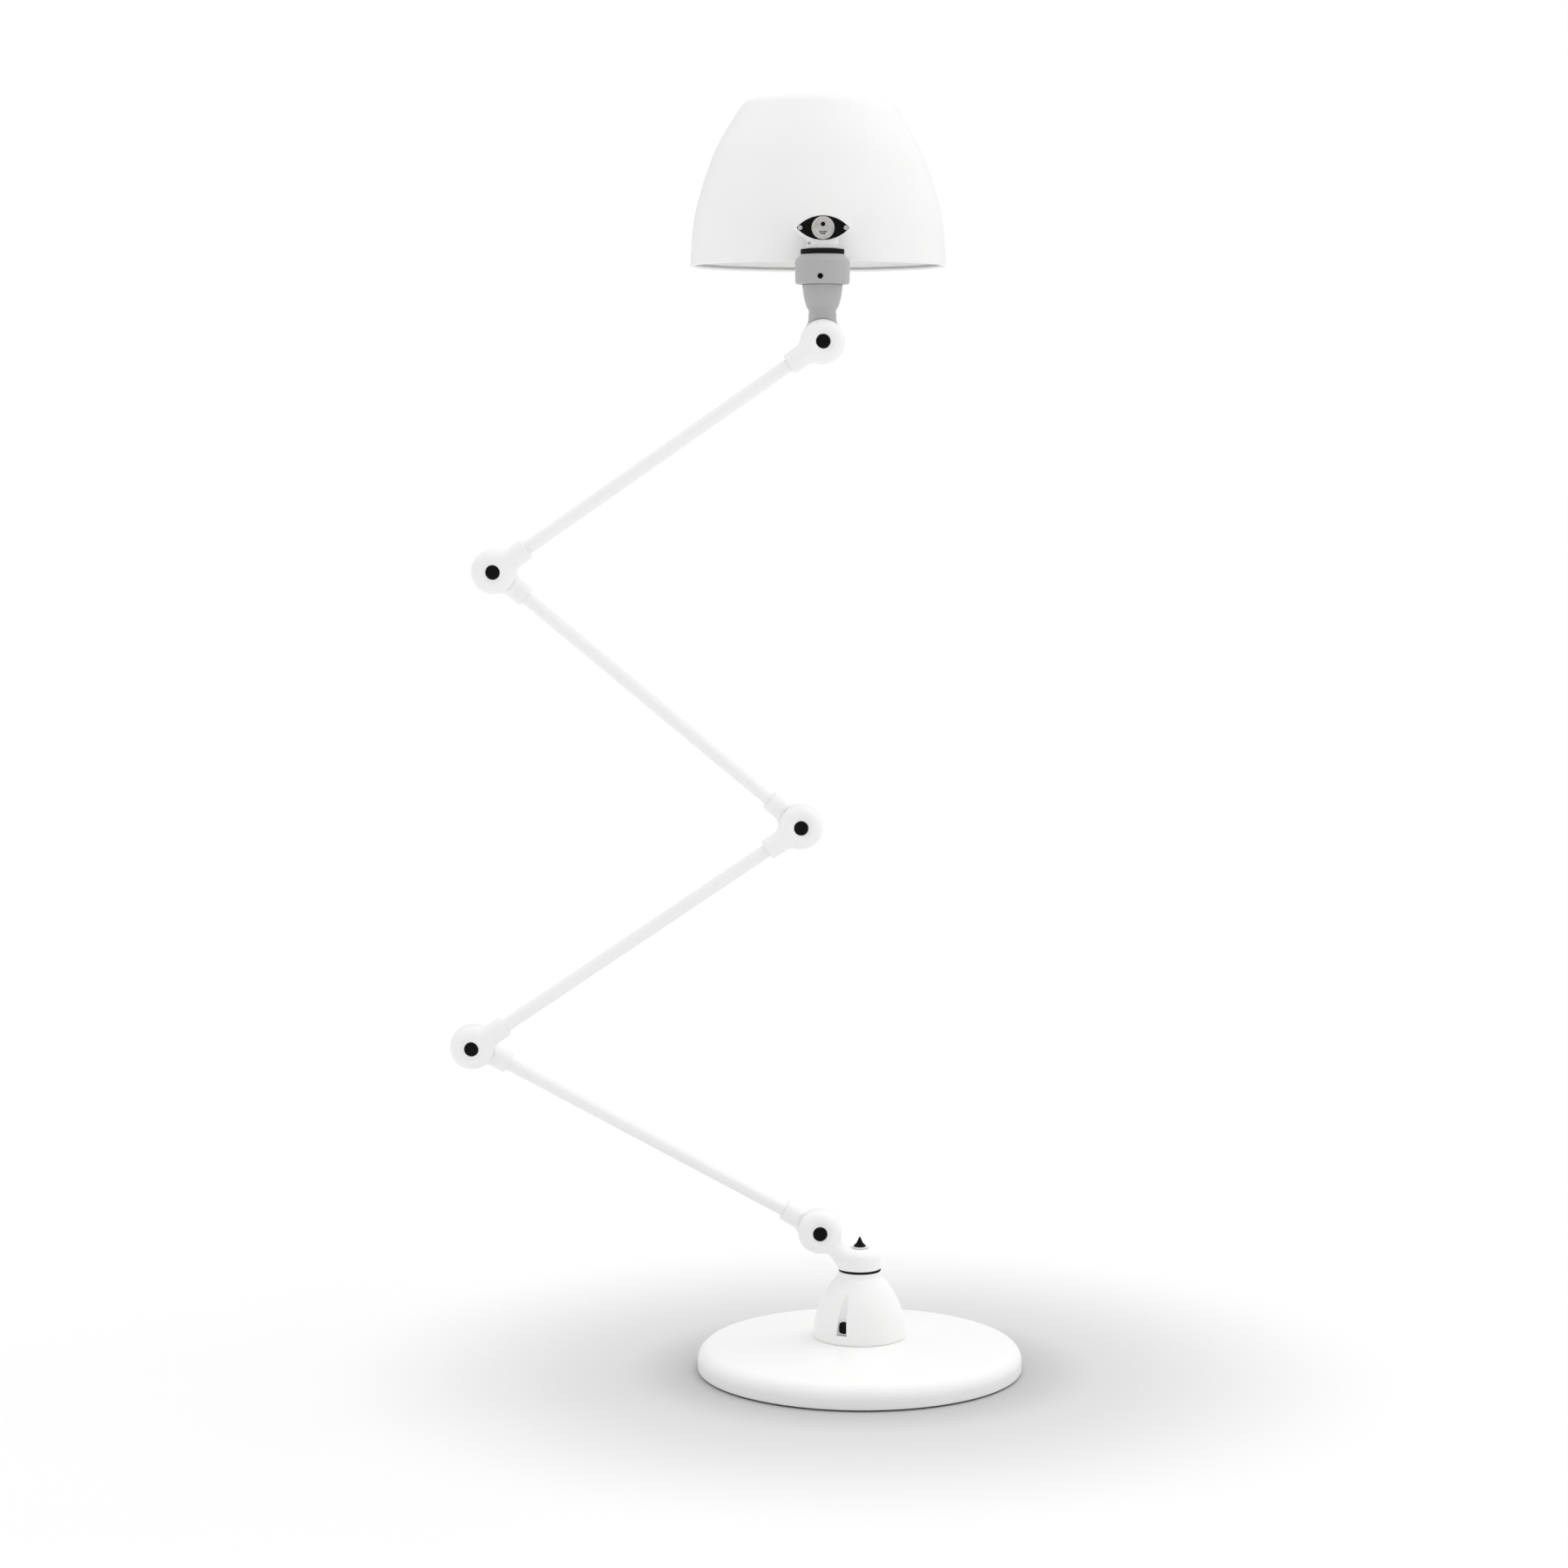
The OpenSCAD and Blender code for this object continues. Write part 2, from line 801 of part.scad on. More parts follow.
// Back shell of the last joint with the neck, its cone and the spigot for the collar.
module neck() {
    rise = 26;
    step_h = 37;
    lead_way_r = 5;
    wide_bore_h = 78;
    wide_bore_r = 12.5;
    color("white")
        difference() {
            union() {
                at_pivot(P5, 90, BACK)
                    shell_blank();
                at_head()
                    translate([0, 0, boss_r])
                        cylinder(h = rise - boss_r, r1 = neck_r / 2, r2 = neck_r);
                at_head()
                    rotate_extrude()
                        polygon([
                            [0, rise], [neck_r, rise], [neck_r + 0.4, step_h], [neck_r + 2.2, step_h + 1.4],
                            [neck_r + 4, step_h + 4.5], [neck_r + 6, step_h + 12],
                            [neck_r + 7.6, cone_h], [spigot_r, cone_h], [spigot_r, spigot_h], [0, spigot_h]
                        ]);
            }
            at_pivot(P5, 90, BACK)
                shell_cuts();
            at_pivot(P5, 0, FRONT)
                translate([0, 0, -half_gap])
                    cylinder(h = 2 * shell_h, r = shell_r + turning_gap);
            at_head()
                translate([0, 0, boss_r + 3])
                    cylinder(h = spigot_h, r = lead_way_r);
            at_head()
                translate([0, 0, wide_bore_h])
                    cylinder(h = spigot_h, r = wide_bore_r);
            collar_screw_bore();
        }
}

module collar_screw_bore() {
    at_head()
        translate([collar_screw_x, -neck_collar_r - cut, collar_screw_h])
            rotate([-90, 0, 0])
                cylinder(h = neck_collar_r + cut - spigot_r + 3, r = collar_screw_r + eps);
}

// Wide collar over the neck's spigot, with the sloping shoulder under the gasket.
module neck_collar() {
    roof = spigot_h + 1;
    round_h = 3.5;
    color("white")
        difference() {
            at_head()
                rotate_extrude()
                    polygon([
                        [spigot_r + eps, cone_h + eps], [neck_collar_r - 3, cone_h + eps],
                        [neck_collar_r - 1.2, cone_h + 0.9], [neck_collar_r - 0.5, cone_h + round_h],
                        [neck_collar_r, shoulder_h - 1], [neck_collar_r - 0.8, shoulder_h],
                        [head_gasket_r + 0.4, collar_top], [post_r + eps, collar_top],
                        [post_r + eps, roof], [spigot_r + eps, roof]
                    ]);
            collar_screw_bore();
        }
}

module collar_screw() {
    sunk = 0.7;
    screw_len = neck_collar_r - spigot_r + 1.5;
    socket_depth = 3;
    socket_r = 1.6;
    color("black")
        at_head()
            translate([collar_screw_x, sunk - neck_collar_r, collar_screw_h])
                rotate([-90, 0, 0])
                    difference() {
                        cylinder(h = screw_len, r = collar_screw_r);
                        translate([0, 0, -cut])
                            cylinder(h = socket_depth + cut, r = socket_r, $fn = 6);
                    }
}

// Hollow post of the head's swivel with its foot flange and its nut.
module head_post() {
    flange_t = 3.8;
    flange_r = 11;
    foot = spigot_h + 1 - flange_t - eps;
    top = 118;
    color("silver")
        at_head() {
            translate([0, 0, foot])
                difference() {
                    union() {
                        cylinder(h = top - foot, r = post_r);
                        cylinder(h = flange_t, r = flange_r);
                    }
                    translate([0, 0, -cut])
                        cylinder(h = top, r = post_bore_r);
                }
            translate([0, 0, bracket_room_h + 0.2])
                post_nut();
        }
}

module head_gasket() {
    color("black")
        at_head()
            translate([0, 0, collar_top + eps])
                pipe(bracket_foot - collar_top - eps - fit, head_gasket_r, post_r + 2);
}

// Lens outline in the XZ plane, a wide and b high from its centre, drawn along +Y.
module lens(a, b, depth) {
    r = (a * a + b * b) / (2 * b);
    rotate([-90, 0, 0])
        intersection() {
            translate([0, r - b, 0])
                cylinder(h = depth, r = r);
            translate([0, b - r, 0])
                cylinder(h = depth, r = r);
        }
}

// Half outline of the shade from its rim to its top, moved in by a distance.
function bulge(k) = 4 * k * (1 - k);
function shade_curve(inset) = let (
    slope = atan((skirt_r - brow_r) / (brow_h - skirt_h)),
    out = [cos(slope), sin(slope)]
) concat(
    [[shade_r - inset, 0], [skirt_r - inset, skirt_h]],
    [for (k = [0.1 : 0.1 : 1]) [
        skirt_r + k * (brow_r - skirt_r) + brow_bulge * bulge(k) * out.x - inset,
        skirt_h + k * (brow_h - skirt_h) + brow_bulge * bulge(k) * out.y
    ]],
    [for (t = [crown_from : 13 : 90]) [
        crown_r + (brow_r - crown_r) * (cos(t) / cos(crown_from)) ^ 1.2 - inset,
        brow_h + (shade_h - brow_h) * (sin(t) - sin(crown_from)) / (1 - sin(crown_from)) - inset * sin(t)
    ]]
);

module shade() {
    inner = shade_curve(shade_wall);
    color("white")
        difference() {
            translate([head_x, shade_y, rim_z])
                rotate_extrude($fn = 144)
                    polygon(concat(
                        shade_curve(0),
                        [[0, shade_h], [0, shade_h - shade_wall]],
                        [for (i = [len(inner) - 1 : -1 : 0]) inner[i]]
                    ));
            translate([head_x, wall_y - stem_r, stem_z])
                rotate([-90, 0, 0])
                    cylinder(h = 3 * stem_r, r = stem_r + eps);
        }
}

// Casting that turns on the head post, with the lens-shaped front and the hollow stem
// that goes through the shade's wall.
module head_bracket() {
    room_h = 11;
    room_r = 12;
    front_y = head_y + bracket_front;
    front_bore_r = 9;
    drain_at = [head_x - 17, stem_z - 10.5];
    drain_r = 1.9;
    wall_gap = 0.15;
    color("white")
        difference() {
            union() {
                at_head()
                    translate([0, 0, bracket_foot])
                        cylinder(h = plate_h - bracket_foot, r = bracket_r);
                difference() {
                    translate([head_x, front_y, stem_z])
                        lens(lens_a, lens_b, wall_y - front_y + 5);
                    // the back of the lens follows the shade's skirt
                    translate([head_x, shade_y, rim_z])
                        cylinder(h = skirt_h, r1 = shade_r + wall_gap, r2 = skirt_r + wall_gap, $fn = 144);
                }
                translate([head_x, wall_y - 8, stem_z])
                    rotate([-90, 0, 0])
                        cylinder(h = stem_end - wall_y + 8, r = stem_r);
            }
            at_head()
                translate([0, 0, bracket_foot - cut])
                    cylinder(h = room_h, r = post_r + fit);
            at_head()
                translate([0, 0, bracket_room_h])
                    cylinder(h = room_h, r = room_r);
            // opening behind the name plate, and the way for the leads
            translate([head_x, front_y - cut, stem_z])
                rotate([-90, 0, 0])
                    cylinder(h = bracket_r, r = front_bore_r);
            translate([head_x, front_y - cut, stem_z])
                rotate([-90, 0, 0])
                    cylinder(h = 2 * stem_end, r = stem_bore_r);
            for (x = [-rivet_x, rivet_x])
                translate([head_x + x, front_y - cut, stem_z])
                    rotate([-90, 0, 0])
                        cylinder(h = 6, r = rivet_r + eps);
            // small drain hole low on the front
            translate([drain_at.x, front_y - cut, drain_at.y])
                rotate([-90, 0, 0])
                    cylinder(h = 8, r = drain_r);
        }
}

module name_plate() {
    color("black")
        difference() {
            translate([head_x, plate_y - eps, stem_z])
                lens(name_plate_a, name_plate_b, name_plate_t);
            for (x = [-rivet_x, rivet_x])
                translate([head_x + x, plate_y - cut, stem_z])
                    rotate([-90, 0, 0])
                        cylinder(h = 6, r = rivet_r + eps);
        }
}

// Plain round badge with a dark stud above its centre and two ribs below it.
module plate_disc() {
    badge_r = 12.8;
    stud_r = 2.6;
    rib = [9, 1.4];
    y = plate_y - 2 * eps - plate_disc_t;
    color("silver")
        translate([head_x, y, stem_z])
            rotate([-90, 0, 0])
                difference() {
                    cylinder(h = plate_disc_t, r = badge_r);
                    translate([0, -4, -cut])
                        cylinder(h = cut + 0.5, r = stud_r);
                    for (z = [4.5, 7.5])
                        translate([-rib.x / 2, z, -cut])
                            cube([rib.x, rib.y, cut + 0.3]);
                }
}

module plate_rivets() {
    color("silver")
        for (x = [-rivet_x, rivet_x])
            translate([head_x + x, plate_y - 2 * eps, stem_z])
                rotate([-90, 0, 0]) {
                    translate([0, 0, -1])
                        cylinder(h = 1, r1 = 1.6, r2 = 2.6);
                    cylinder(h = 5, r = rivet_r);
                }
}

module shade_nut() {
    color("silver")
        translate([head_x, wall_y + 3.4, stem_z])
            rotate([-90, 0, 0])
                difference() {
                    cylinder(h = nut_t, r = 14, $fn = 6);
                    translate([0, 0, -cut])
                        cylinder(h = nut_t + 2 * cut, r = stem_r + eps);
                }
}

module lamp_holder() {
    mouth_r = holder_r - 5.5;
    floor_t = 16;
    color("ivory")
        translate([head_x, holder_y, stem_z])
            rotate([-90, 0, 0])
                difference() {
                    rotate_extrude()
                        polygon([
                            [0, 0], [holder_r - 5, 0], [holder_r - 2, 5], [holder_r - 2, 14],
                            [holder_r, 15], [holder_r, holder_len - 2], [holder_r - 1.5, holder_len],
                            [0, holder_len]
                        ]);
                    translate([0, 0, floor_t])
                        cylinder(h = holder_len, r = mouth_r);
                    translate([0, 0, -cut])
                        cylinder(h = stem_end - holder_y + 2, r = stem_r + eps);
                }
}

module bulb_cap() {
    cap_len = 25;
    color("silver")
        translate([head_x, bulb_y - cap_len, stem_z])
            rotate([-90, 0, 0])
                rotate_extrude()
                    polygon(concat(
                        [[0, 0], [4.5, 0], [6, 2], [11, 4.5]],
                        [for (k = [0 : 5]) each [[bulb_cap_r - 1, 5.5 + 3 * k], [bulb_cap_r, 7 + 3 * k]]],
                        [[bulb_cap_r - 0.5, cap_len], [0, cap_len]]
                    ));
}

module bulb_glass() {
    centre = 50;
    glass_t = 1;
    function glass_curve(inset) = concat(
        [[bulb_cap_r - 0.5 - inset, 0], [bulb_cap_r + 0.8 - inset, 6]],
        [for (t = [-40 : 10 : 90]) [(bulb_r - inset) * cos(t), centre + (bulb_r - inset) * sin(t)]]
    );
    inner = glass_curve(glass_t);
    color([1, 1, 0.95, 0.6])
        translate([head_x, bulb_y, stem_z])
            rotate([-90, 0, 0])
                rotate_extrude()
                    polygon(concat(
                        glass_curve(0),
                        [for (i = [len(inner) - 1 : -1 : 0]) inner[i]]
                    ));
}

base_cover();
base_weight();
base_plate();
base_pad();
base_screws();
cable_gland();
base_bell();
bell_screws();
switch_body();
switch_lever();
swivel_post();
swivel_gasket();
cap_washer();
dome_cap();
elbow();
for (n = [0 : 4]) {
    joint_bolt(n);
    joint_contact_disc(n);
    joint_caps(n);
}
for (n = [0 : 3]) {
    lower_shell(n);
    arm_tube(n);
    upper_shell(n);
    arm_leads(n);
}
neck();
neck_collar();
collar_screw();
head_post();
head_gasket();
head_bracket();
name_plate();
plate_disc();
plate_rivets();
shade();
shade_nut();
lamp_holder();
bulb_cap();
bulb_glass();
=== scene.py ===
"""Adjustable arm floor lamp: the finished looks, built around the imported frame.

Shapes are worked out in millimetres and turn into metres in make_piece(). A turned piece is an
outline swept round an axis by lathe(). A casting is a form: a function that gives each point's
distance from the surface, negative inside. Forms blend into each other, and skin() lays a mesh
on the surface.
"""

import json
import math

import bmesh
import bpy
import numpy as np
from mathutils import Matrix, Vector


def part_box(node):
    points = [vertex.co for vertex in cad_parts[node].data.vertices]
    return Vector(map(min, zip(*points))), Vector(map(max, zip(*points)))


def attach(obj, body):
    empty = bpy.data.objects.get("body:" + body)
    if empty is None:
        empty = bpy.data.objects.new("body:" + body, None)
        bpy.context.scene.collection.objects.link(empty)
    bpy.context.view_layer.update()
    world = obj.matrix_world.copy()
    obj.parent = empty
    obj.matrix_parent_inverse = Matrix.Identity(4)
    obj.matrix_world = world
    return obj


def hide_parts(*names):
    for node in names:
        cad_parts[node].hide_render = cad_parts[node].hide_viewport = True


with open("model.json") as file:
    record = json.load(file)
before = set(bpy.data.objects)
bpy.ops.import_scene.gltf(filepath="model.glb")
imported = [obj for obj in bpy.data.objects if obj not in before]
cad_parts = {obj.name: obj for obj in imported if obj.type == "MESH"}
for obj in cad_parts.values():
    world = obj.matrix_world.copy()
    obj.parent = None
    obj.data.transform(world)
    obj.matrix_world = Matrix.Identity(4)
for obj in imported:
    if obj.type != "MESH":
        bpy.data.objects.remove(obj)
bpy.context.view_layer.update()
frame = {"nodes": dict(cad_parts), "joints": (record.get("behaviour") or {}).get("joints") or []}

MM = 0.001
FRONT, BACK = -1, 1


# ---- places and sizes, read from the frame, in millimetres ----


def corners(node):
    """Lowest and highest corner of a CAD node."""
    low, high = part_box(node)
    return np.array(low) / MM, np.array(high) / MM


JOINTS = {joint["name"]: np.array(joint["pos_m"]) / MM for joint in frame["joints"]}
PIVOTS = [JOINTS[name] for name in ("arm1_tilt", "arm2_fold", "arm3_fold", "arm4_fold", "head_tilt")]
ARM_BODIES = ["arm1", "arm2", "arm3", "arm4"]
ARM_SIDES = [BACK, FRONT, BACK, FRONT]
CAP_BODIES = ["elbow", "arm1", "arm2", "arm3", "arm4"]
ARM_LENGTH = float(np.linalg.norm(PIVOTS[1] - PIVOTS[0]))

BASE_R = corners("base_cover")[1][0]
COVER_FOOT, BASE_TOP = corners("base_cover")[0][2], corners("base_cover")[1][2]
BELL_R = corners("base_bell")[1][0]
BELL_TOP = corners("base_bell")[1][2]
GASKET_R = corners("swivel_gasket")[1][0]
DOME_FOOT = corners("elbow")[0][2]
HEAD = np.array([PIVOTS[4][0], JOINTS["head_swivel"][1], PIVOTS[4][2]])
SHADE_LOW, SHADE_HIGH = corners("shade")
SHADE_R = (SHADE_HIGH[0] - SHADE_LOW[0]) / 2
SHADE_AT = np.array([HEAD[0], (SHADE_LOW[1] + SHADE_HIGH[1]) / 2, SHADE_LOW[2]])
SHADE_H = SHADE_HIGH[2] - SHADE_LOW[2]
STEM_Z = float(np.mean([corners("name_plate")[0][2], corners("name_plate")[1][2]]))
PLATE_FRONT = corners("name_plate")[0][1]
STEM_WALL_Y = SHADE_AT[1] - SHADE_R + 3

# joints
SHELL_R = 25
SHELL_H = 20.5
SHELL_SIDE = 7
HALF_GAP = 0.3
FACE_R = 13.5
LAYER = 12.5
COLLAR_R = 12
COLLAR_REACH = 46
TUBE_R = 7.5
TUBE_WALL = 1.5
TUBE_GRIP = 20
BOLT_R = 4.1
CAP_R = 7.8
CAP_SEAT = 14

# bore for a swivel's post, stem through the shade
POST_BORE_R = 6.1
STEM_R = 8

# sheet metal
SHEET = 2.5
SHADE_WALL = 1.8
BEAD_R = 1.9

# grid of a casting's skin
CAST_STEP = 0.7


# ---- forms ----


def outline_distance(outline, u, v):
    """Signed distance of the points (u, v) from a closed outline."""
    nearest = np.full(u.shape, np.inf)
    inside = np.zeros(u.shape, bool)
    for (au, av), (bu, bv) in zip(outline, outline[1:] + outline[:1]):
        eu, ev = bu - au, bv - av
        size = eu * eu + ev * ev
        if size < 1e-12:
            continue
        wu, wv = u - au, v - av
        along = np.clip((wu * eu + wv * ev) / size, 0, 1)
        nearest = np.minimum(nearest, (wu - along * eu) ** 2 + (wv - along * ev) ** 2)
        crossing = (av > v) != (bv > v)
        inside ^= crossing & (wu < wv * eu / (ev if ev else 1))
    return np.where(inside, -1, 1) * np.sqrt(nearest)


def turned(outline, centre=(0, 0, 0), axis=2):
    """Solid of revolution. The outline is (radius, height) and begins and ends on the axis."""
    closed = list(outline) + [(-r, z) for r, z in reversed(outline)]
    centre = np.array(centre, float)
    across = [i for i in range(3) if i != axis]

    def form(points):
        q = points - centre
        return outline_distance(closed, np.hypot(q[:, across[0]], q[:, across[1]]), q[:, axis])

    return form


def rod(start, end, r_start, r_end=None):
    """Round bar between two points."""
    start, end = np.array(start, float), np.array(end, float)
    length = np.linalg.norm(end - start)
    way = (end - start) / length
    r_end = r_start if r_end is None else r_end

    def form(points):
        q = points - start
        along = q @ way
        across = np.linalg.norm(q - along[:, None] * way, axis=1)
        width = r_start + (r_end - r_start) * np.clip(along / length, 0, 1)
        return np.maximum(across - width, np.abs(along - length / 2) - length / 2)

    return form


def block(low, high):
    """Box between two corners."""
    middle = (np.array(low, float) + np.array(high, float)) / 2
    half = (np.array(high, float) - np.array(low, float)) / 2
    return lambda points: (np.abs(points - middle) - half).max(axis=1)


def lens(centre, a, b, y_from, y_to):
    """Lens-shaped bar along Y, 2a wide and 2b high."""
    arc_r = (a * a + b * b) / (2 * b)

    def form(points):
        x, z = points[:, 0] - centre[0], points[:, 2] - centre[2]
        upper = np.hypot(x, z + arc_r - b) - arc_r
        lower = np.hypot(x, z - arc_r + b) - arc_r
        ends = np.maximum(y_from - points[:, 1], points[:, 1] - y_to)
        return np.maximum(soft_max(upper, lower, 1.5), ends)

    return form


def soft_min(a, b, width):
    near = np.maximum(width - np.abs(a - b), 0) / width
    return np.minimum(a, b) - near * near * width / 4


def soft_max(a, b, width):
    return -soft_min(-a, -b, width)


def joined(width, *forms):
    """Forms that run into each other with a fillet."""

    def form(points):
        total = forms[0](points)
        for other in forms[1:]:
            total = soft_min(total, other(points), width)
        return total

    return form


def common(width, *forms):
    """What the forms share, with rounded edges."""

    def form(points):
        total = forms[0](points)
        for other in forms[1:]:
            total = soft_max(total, other(points), width)
        return total

    return form


def cut(width, body, *tools):
    """A form with others taken away, with rounded edges."""

    def form(points):
        total = body(points)
        for tool in tools:
            total = soft_max(total, -tool(points), width)
        return total

    return form


def placed(form, matrix):
    """A form drawn in its own frame, put in place by a matrix in millimetres."""
    inverse = np.array(matrix.inverted())
    return lambda points: form(points @ inverse[:3, :3].T + inverse[:3, 3])


def neighbour_mean(points, faces):
    """Mean of the neighbours of each point along the faces' edges."""
    total = np.zeros_like(points)
    count = np.zeros(len(points))
    for i in range(4):
        for j in ((i + 1) % 4, (i - 1) % 4):
            count += np.bincount(faces[:, i], minlength=len(points))
            for axis in range(3):
                weights = points[faces[:, j], axis]
                total[:, axis] += np.bincount(faces[:, i], weights, len(points))
    return total / count[:, None]


def settle(form, points, step):
    """Moves points onto the surface of a form."""
    reach = 0.05 * step
    for _ in range(2):
        value = form(points)
        slope = np.empty_like(points)
        for axis in range(3):
            shift = np.zeros(3)
            shift[axis] = reach
            slope[:, axis] = (form(points + shift) - form(points - shift)) / (2 * reach)
        move = value / np.maximum((slope**2).sum(axis=1), 0.4)
        points = points - np.clip(move, -step / 2, step / 2)[:, None] * slope
    return points


def skin(form, low, high, step):
    """Points and four-sided faces on the surface of a form inside a box: one point in each
    cell of a grid that the surface crosses, and a face round each crossed edge of the grid."""
    low = np.array(low, float) - 2 * step
    size = np.ceil((np.array(high, float) + 2 * step - low) / step).astype(int) + 1
    rows = [low[i] + step * np.arange(size[i]) for i in range(3)]
    grid = np.stack(np.meshgrid(*rows, indexing="ij"), axis=-1).reshape(-1, 3)
    chunks = np.array_split(grid, len(grid) // 200000 + 1)
    field = np.concatenate([form(chunk) for chunk in chunks]).reshape(size)
    cells = size - 1
    total = np.zeros((*cells, 3))
    hits = np.zeros(cells)
    crossed_edges = []
    for axis in range(3):
        near = np.take(field, np.arange(cells[axis]), axis)
        far = np.take(field, np.arange(1, size[axis]), axis)
        crossed = (near < 0) != (far < 0)
        share = np.where(crossed, near / np.where(crossed, near - far, 1), 0)
        first, second = [i for i in range(3) if i != axis]
        for u in (0, 1):
            for v in (0, 1):
                window = [slice(None)] * 3
                window[first] = slice(u, u + cells[first])
                window[second] = slice(v, v + cells[second])
                here = crossed[tuple(window)]
                hits += here
                total[..., axis] += share[tuple(window)]
                total[..., first] += u * here
                total[..., second] += v * here
        crossed_edges.append((axis, np.argwhere(crossed), near[crossed] < 0))
    active = hits > 0
    number = np.full(cells, -1)
    number[active] = np.arange(active.sum())
    points = (np.argwhere(active) + total[active] / hits[active][:, None]) * step + low
    faces = []
    for axis, edges, outward in crossed_edges:
        first, second = [i for i in range(3) if i != axis]
        around = []
        for u, v in ((0, 0), (1, 0), (1, 1), (0, 1)):
            cell = edges.copy()
            cell[:, first] -= u
            cell[:, second] -= v
            around.append(number[tuple(cell.T)])
        around = np.stack(around, axis=1)
        forward = outward if axis != 1 else ~outward
        faces.append(np.where(forward[:, None], around, around[:, ::-1]))
    faces = np.concatenate(faces)
    points = settle(form, points, step)
    for _ in range(2):
        points = (points + neighbour_mean(points, faces)) / 2
        points = settle(form, points, step)
    return points, faces.tolist()


# ---- turned shapes ----


def rounded(*shape_corners, steps=5):
    """Outline through corners (radius, height), each rounded where it has a third value, the
    length of the straight edge that the rounding takes."""
    outline = []
    last = len(shape_corners) - 1
    for i, corner in enumerate(shape_corners):
        here = np.array(corner[:2], float)
        if len(corner) < 3 or i in (0, last):
            outline.append(tuple(here))
            continue
        before = np.array(shape_corners[i - 1][:2], float) - here
        after = np.array(shape_corners[i + 1][:2], float) - here
        start = here + before / np.linalg.norm(before) * corner[2]
        end = here + after / np.linalg.norm(after) * corner[2]
        for t in np.linspace(0, 1, steps):
            outline.append(tuple((1 - t) ** 2 * start + 2 * t * (1 - t) * here + t * t * end))
    return outline


def smooth_curve(knots, per_span=8):
    """Curve through the knots, with no corner at any of them."""
    knots = [np.array(k, float) for k in knots]
    padded = [2 * knots[0] - knots[1], *knots, 2 * knots[-1] - knots[-2]]
    curve = []
    for a, b, c, d in zip(padded, padded[1:], padded[2:], padded[3:]):
        for t in np.linspace(0, 1, per_span, endpoint=False):
            terms = (2 * b, (c - a) * t, (2 * a - 5 * b + 4 * c - d) * t**2)
            curve.append(tuple((sum(terms) + (3 * b - a - 3 * c + d) * t**3) / 2))
    curve.append(tuple(knots[-1]))
    return curve


def lathe(outline, sides=96, loop=False, swell=None):
    """Points and faces swept round Z by an outline (radius, height). swell(angle, height) adds
    to the radius. A loop is an outline that closes on itself."""
    points, rings = [], []
    for r, z in outline:
        if r < 1e-6:
            rings.append([len(points)] * sides)
            points.append((0, 0, z))
            continue
        rings.append(list(range(len(points), len(points) + sides)))
        for k in range(sides):
            angle = 2 * math.pi * k / sides
            wide = r + (swell(angle, z) if swell else 0)
            points.append((wide * math.cos(angle), wide * math.sin(angle), z))
    faces = []
    for lower, upper in zip(rings, rings[1:] + (rings[:1] if loop else [])):
        for k in range(sides):
            n = (k + 1) % sides
            face = list(dict.fromkeys((lower[k], lower[n], upper[n], upper[k])))
            if len(face) > 2:
                faces.append(face)
    return np.array(points, float), faces


# ---- pieces ----


def turn(axis, degrees):
    return Matrix.Rotation(math.radians(degrees), 4, axis)


def move(place):
    return Matrix.Translation(Vector([float(x) for x in place]))


def at_pivot(place, angle, side):
    """Frame of a joint: the mid-plane is at z = 0, the crown is towards +Z, the arm along +X."""
    return move(place) @ turn("X", -90 * side) @ turn("Z", -side * angle)


def make_piece(name, shape, place=None, sharp=None, own_frame=False):
    """Mesh object from points and faces in millimetres, put in place by a matrix. Its texture
    runs in the row frame, or in the frame that it was drawn in if own_frame is set."""
    points, faces = shape
    mesh = bpy.data.meshes.new(name)
    mesh.from_pydata((np.asarray(points) * MM).tolist(), [], faces)
    tidy_mesh = bmesh.new()
    tidy_mesh.from_mesh(mesh)
    bmesh.ops.recalc_face_normals(tidy_mesh, faces=tidy_mesh.faces)
    tidy_mesh.to_mesh(mesh)
    tidy_mesh.free()
    mesh.polygons.foreach_set("use_smooth", [True] * len(mesh.polygons))
    if sharp:
        mesh.set_sharp_from_angle(angle=math.radians(sharp))
    piece = bpy.data.objects.new(name, mesh)
    bpy.context.scene.collection.objects.link(piece)
    if place is not None and own_frame:
        piece.matrix_world = in_metres(place)
    elif place is not None:
        mesh.transform(in_metres(place))
    return piece


def in_metres(place):
    matrix = place.copy()
    matrix.translation = place.translation * MM
    return matrix


def carve(piece, *cutters):
    """Cuts holes in a piece. The cutters are used up."""
    for cutter in cutters:
        modifier = piece.modifiers.new("hole", "BOOLEAN")
        modifier.operation = "DIFFERENCE"
        modifier.solver = "EXACT"
        modifier.object = cutter
    bpy.context.view_layer.update()
    shown = piece.evaluated_get(bpy.context.evaluated_depsgraph_get())
    mesh = bpy.data.meshes.new_from_object(shown)
    mesh.set_sharp_from_angle(angle=math.radians(40))
    piece.modifiers.clear()
    piece.data = mesh
    for cutter in cutters:
        bpy.data.objects.remove(cutter)


def cylinder(r, low, high, place=None):
    """Plain cutter."""
    return make_piece("cutter", lathe([(0, low), (r, low), (r, high), (0, high)], 64), place, 40)


def settle_in(piece, body, slot, *nodes):
    """Gives a piece its body, its finish and the CAD nodes that it stands for."""
    piece.data.materials.clear()
    piece.data.materials.append(finish(slot))
    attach(piece, body)
    if nodes:
        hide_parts(*nodes)
    return piece


# ---- finishes ----


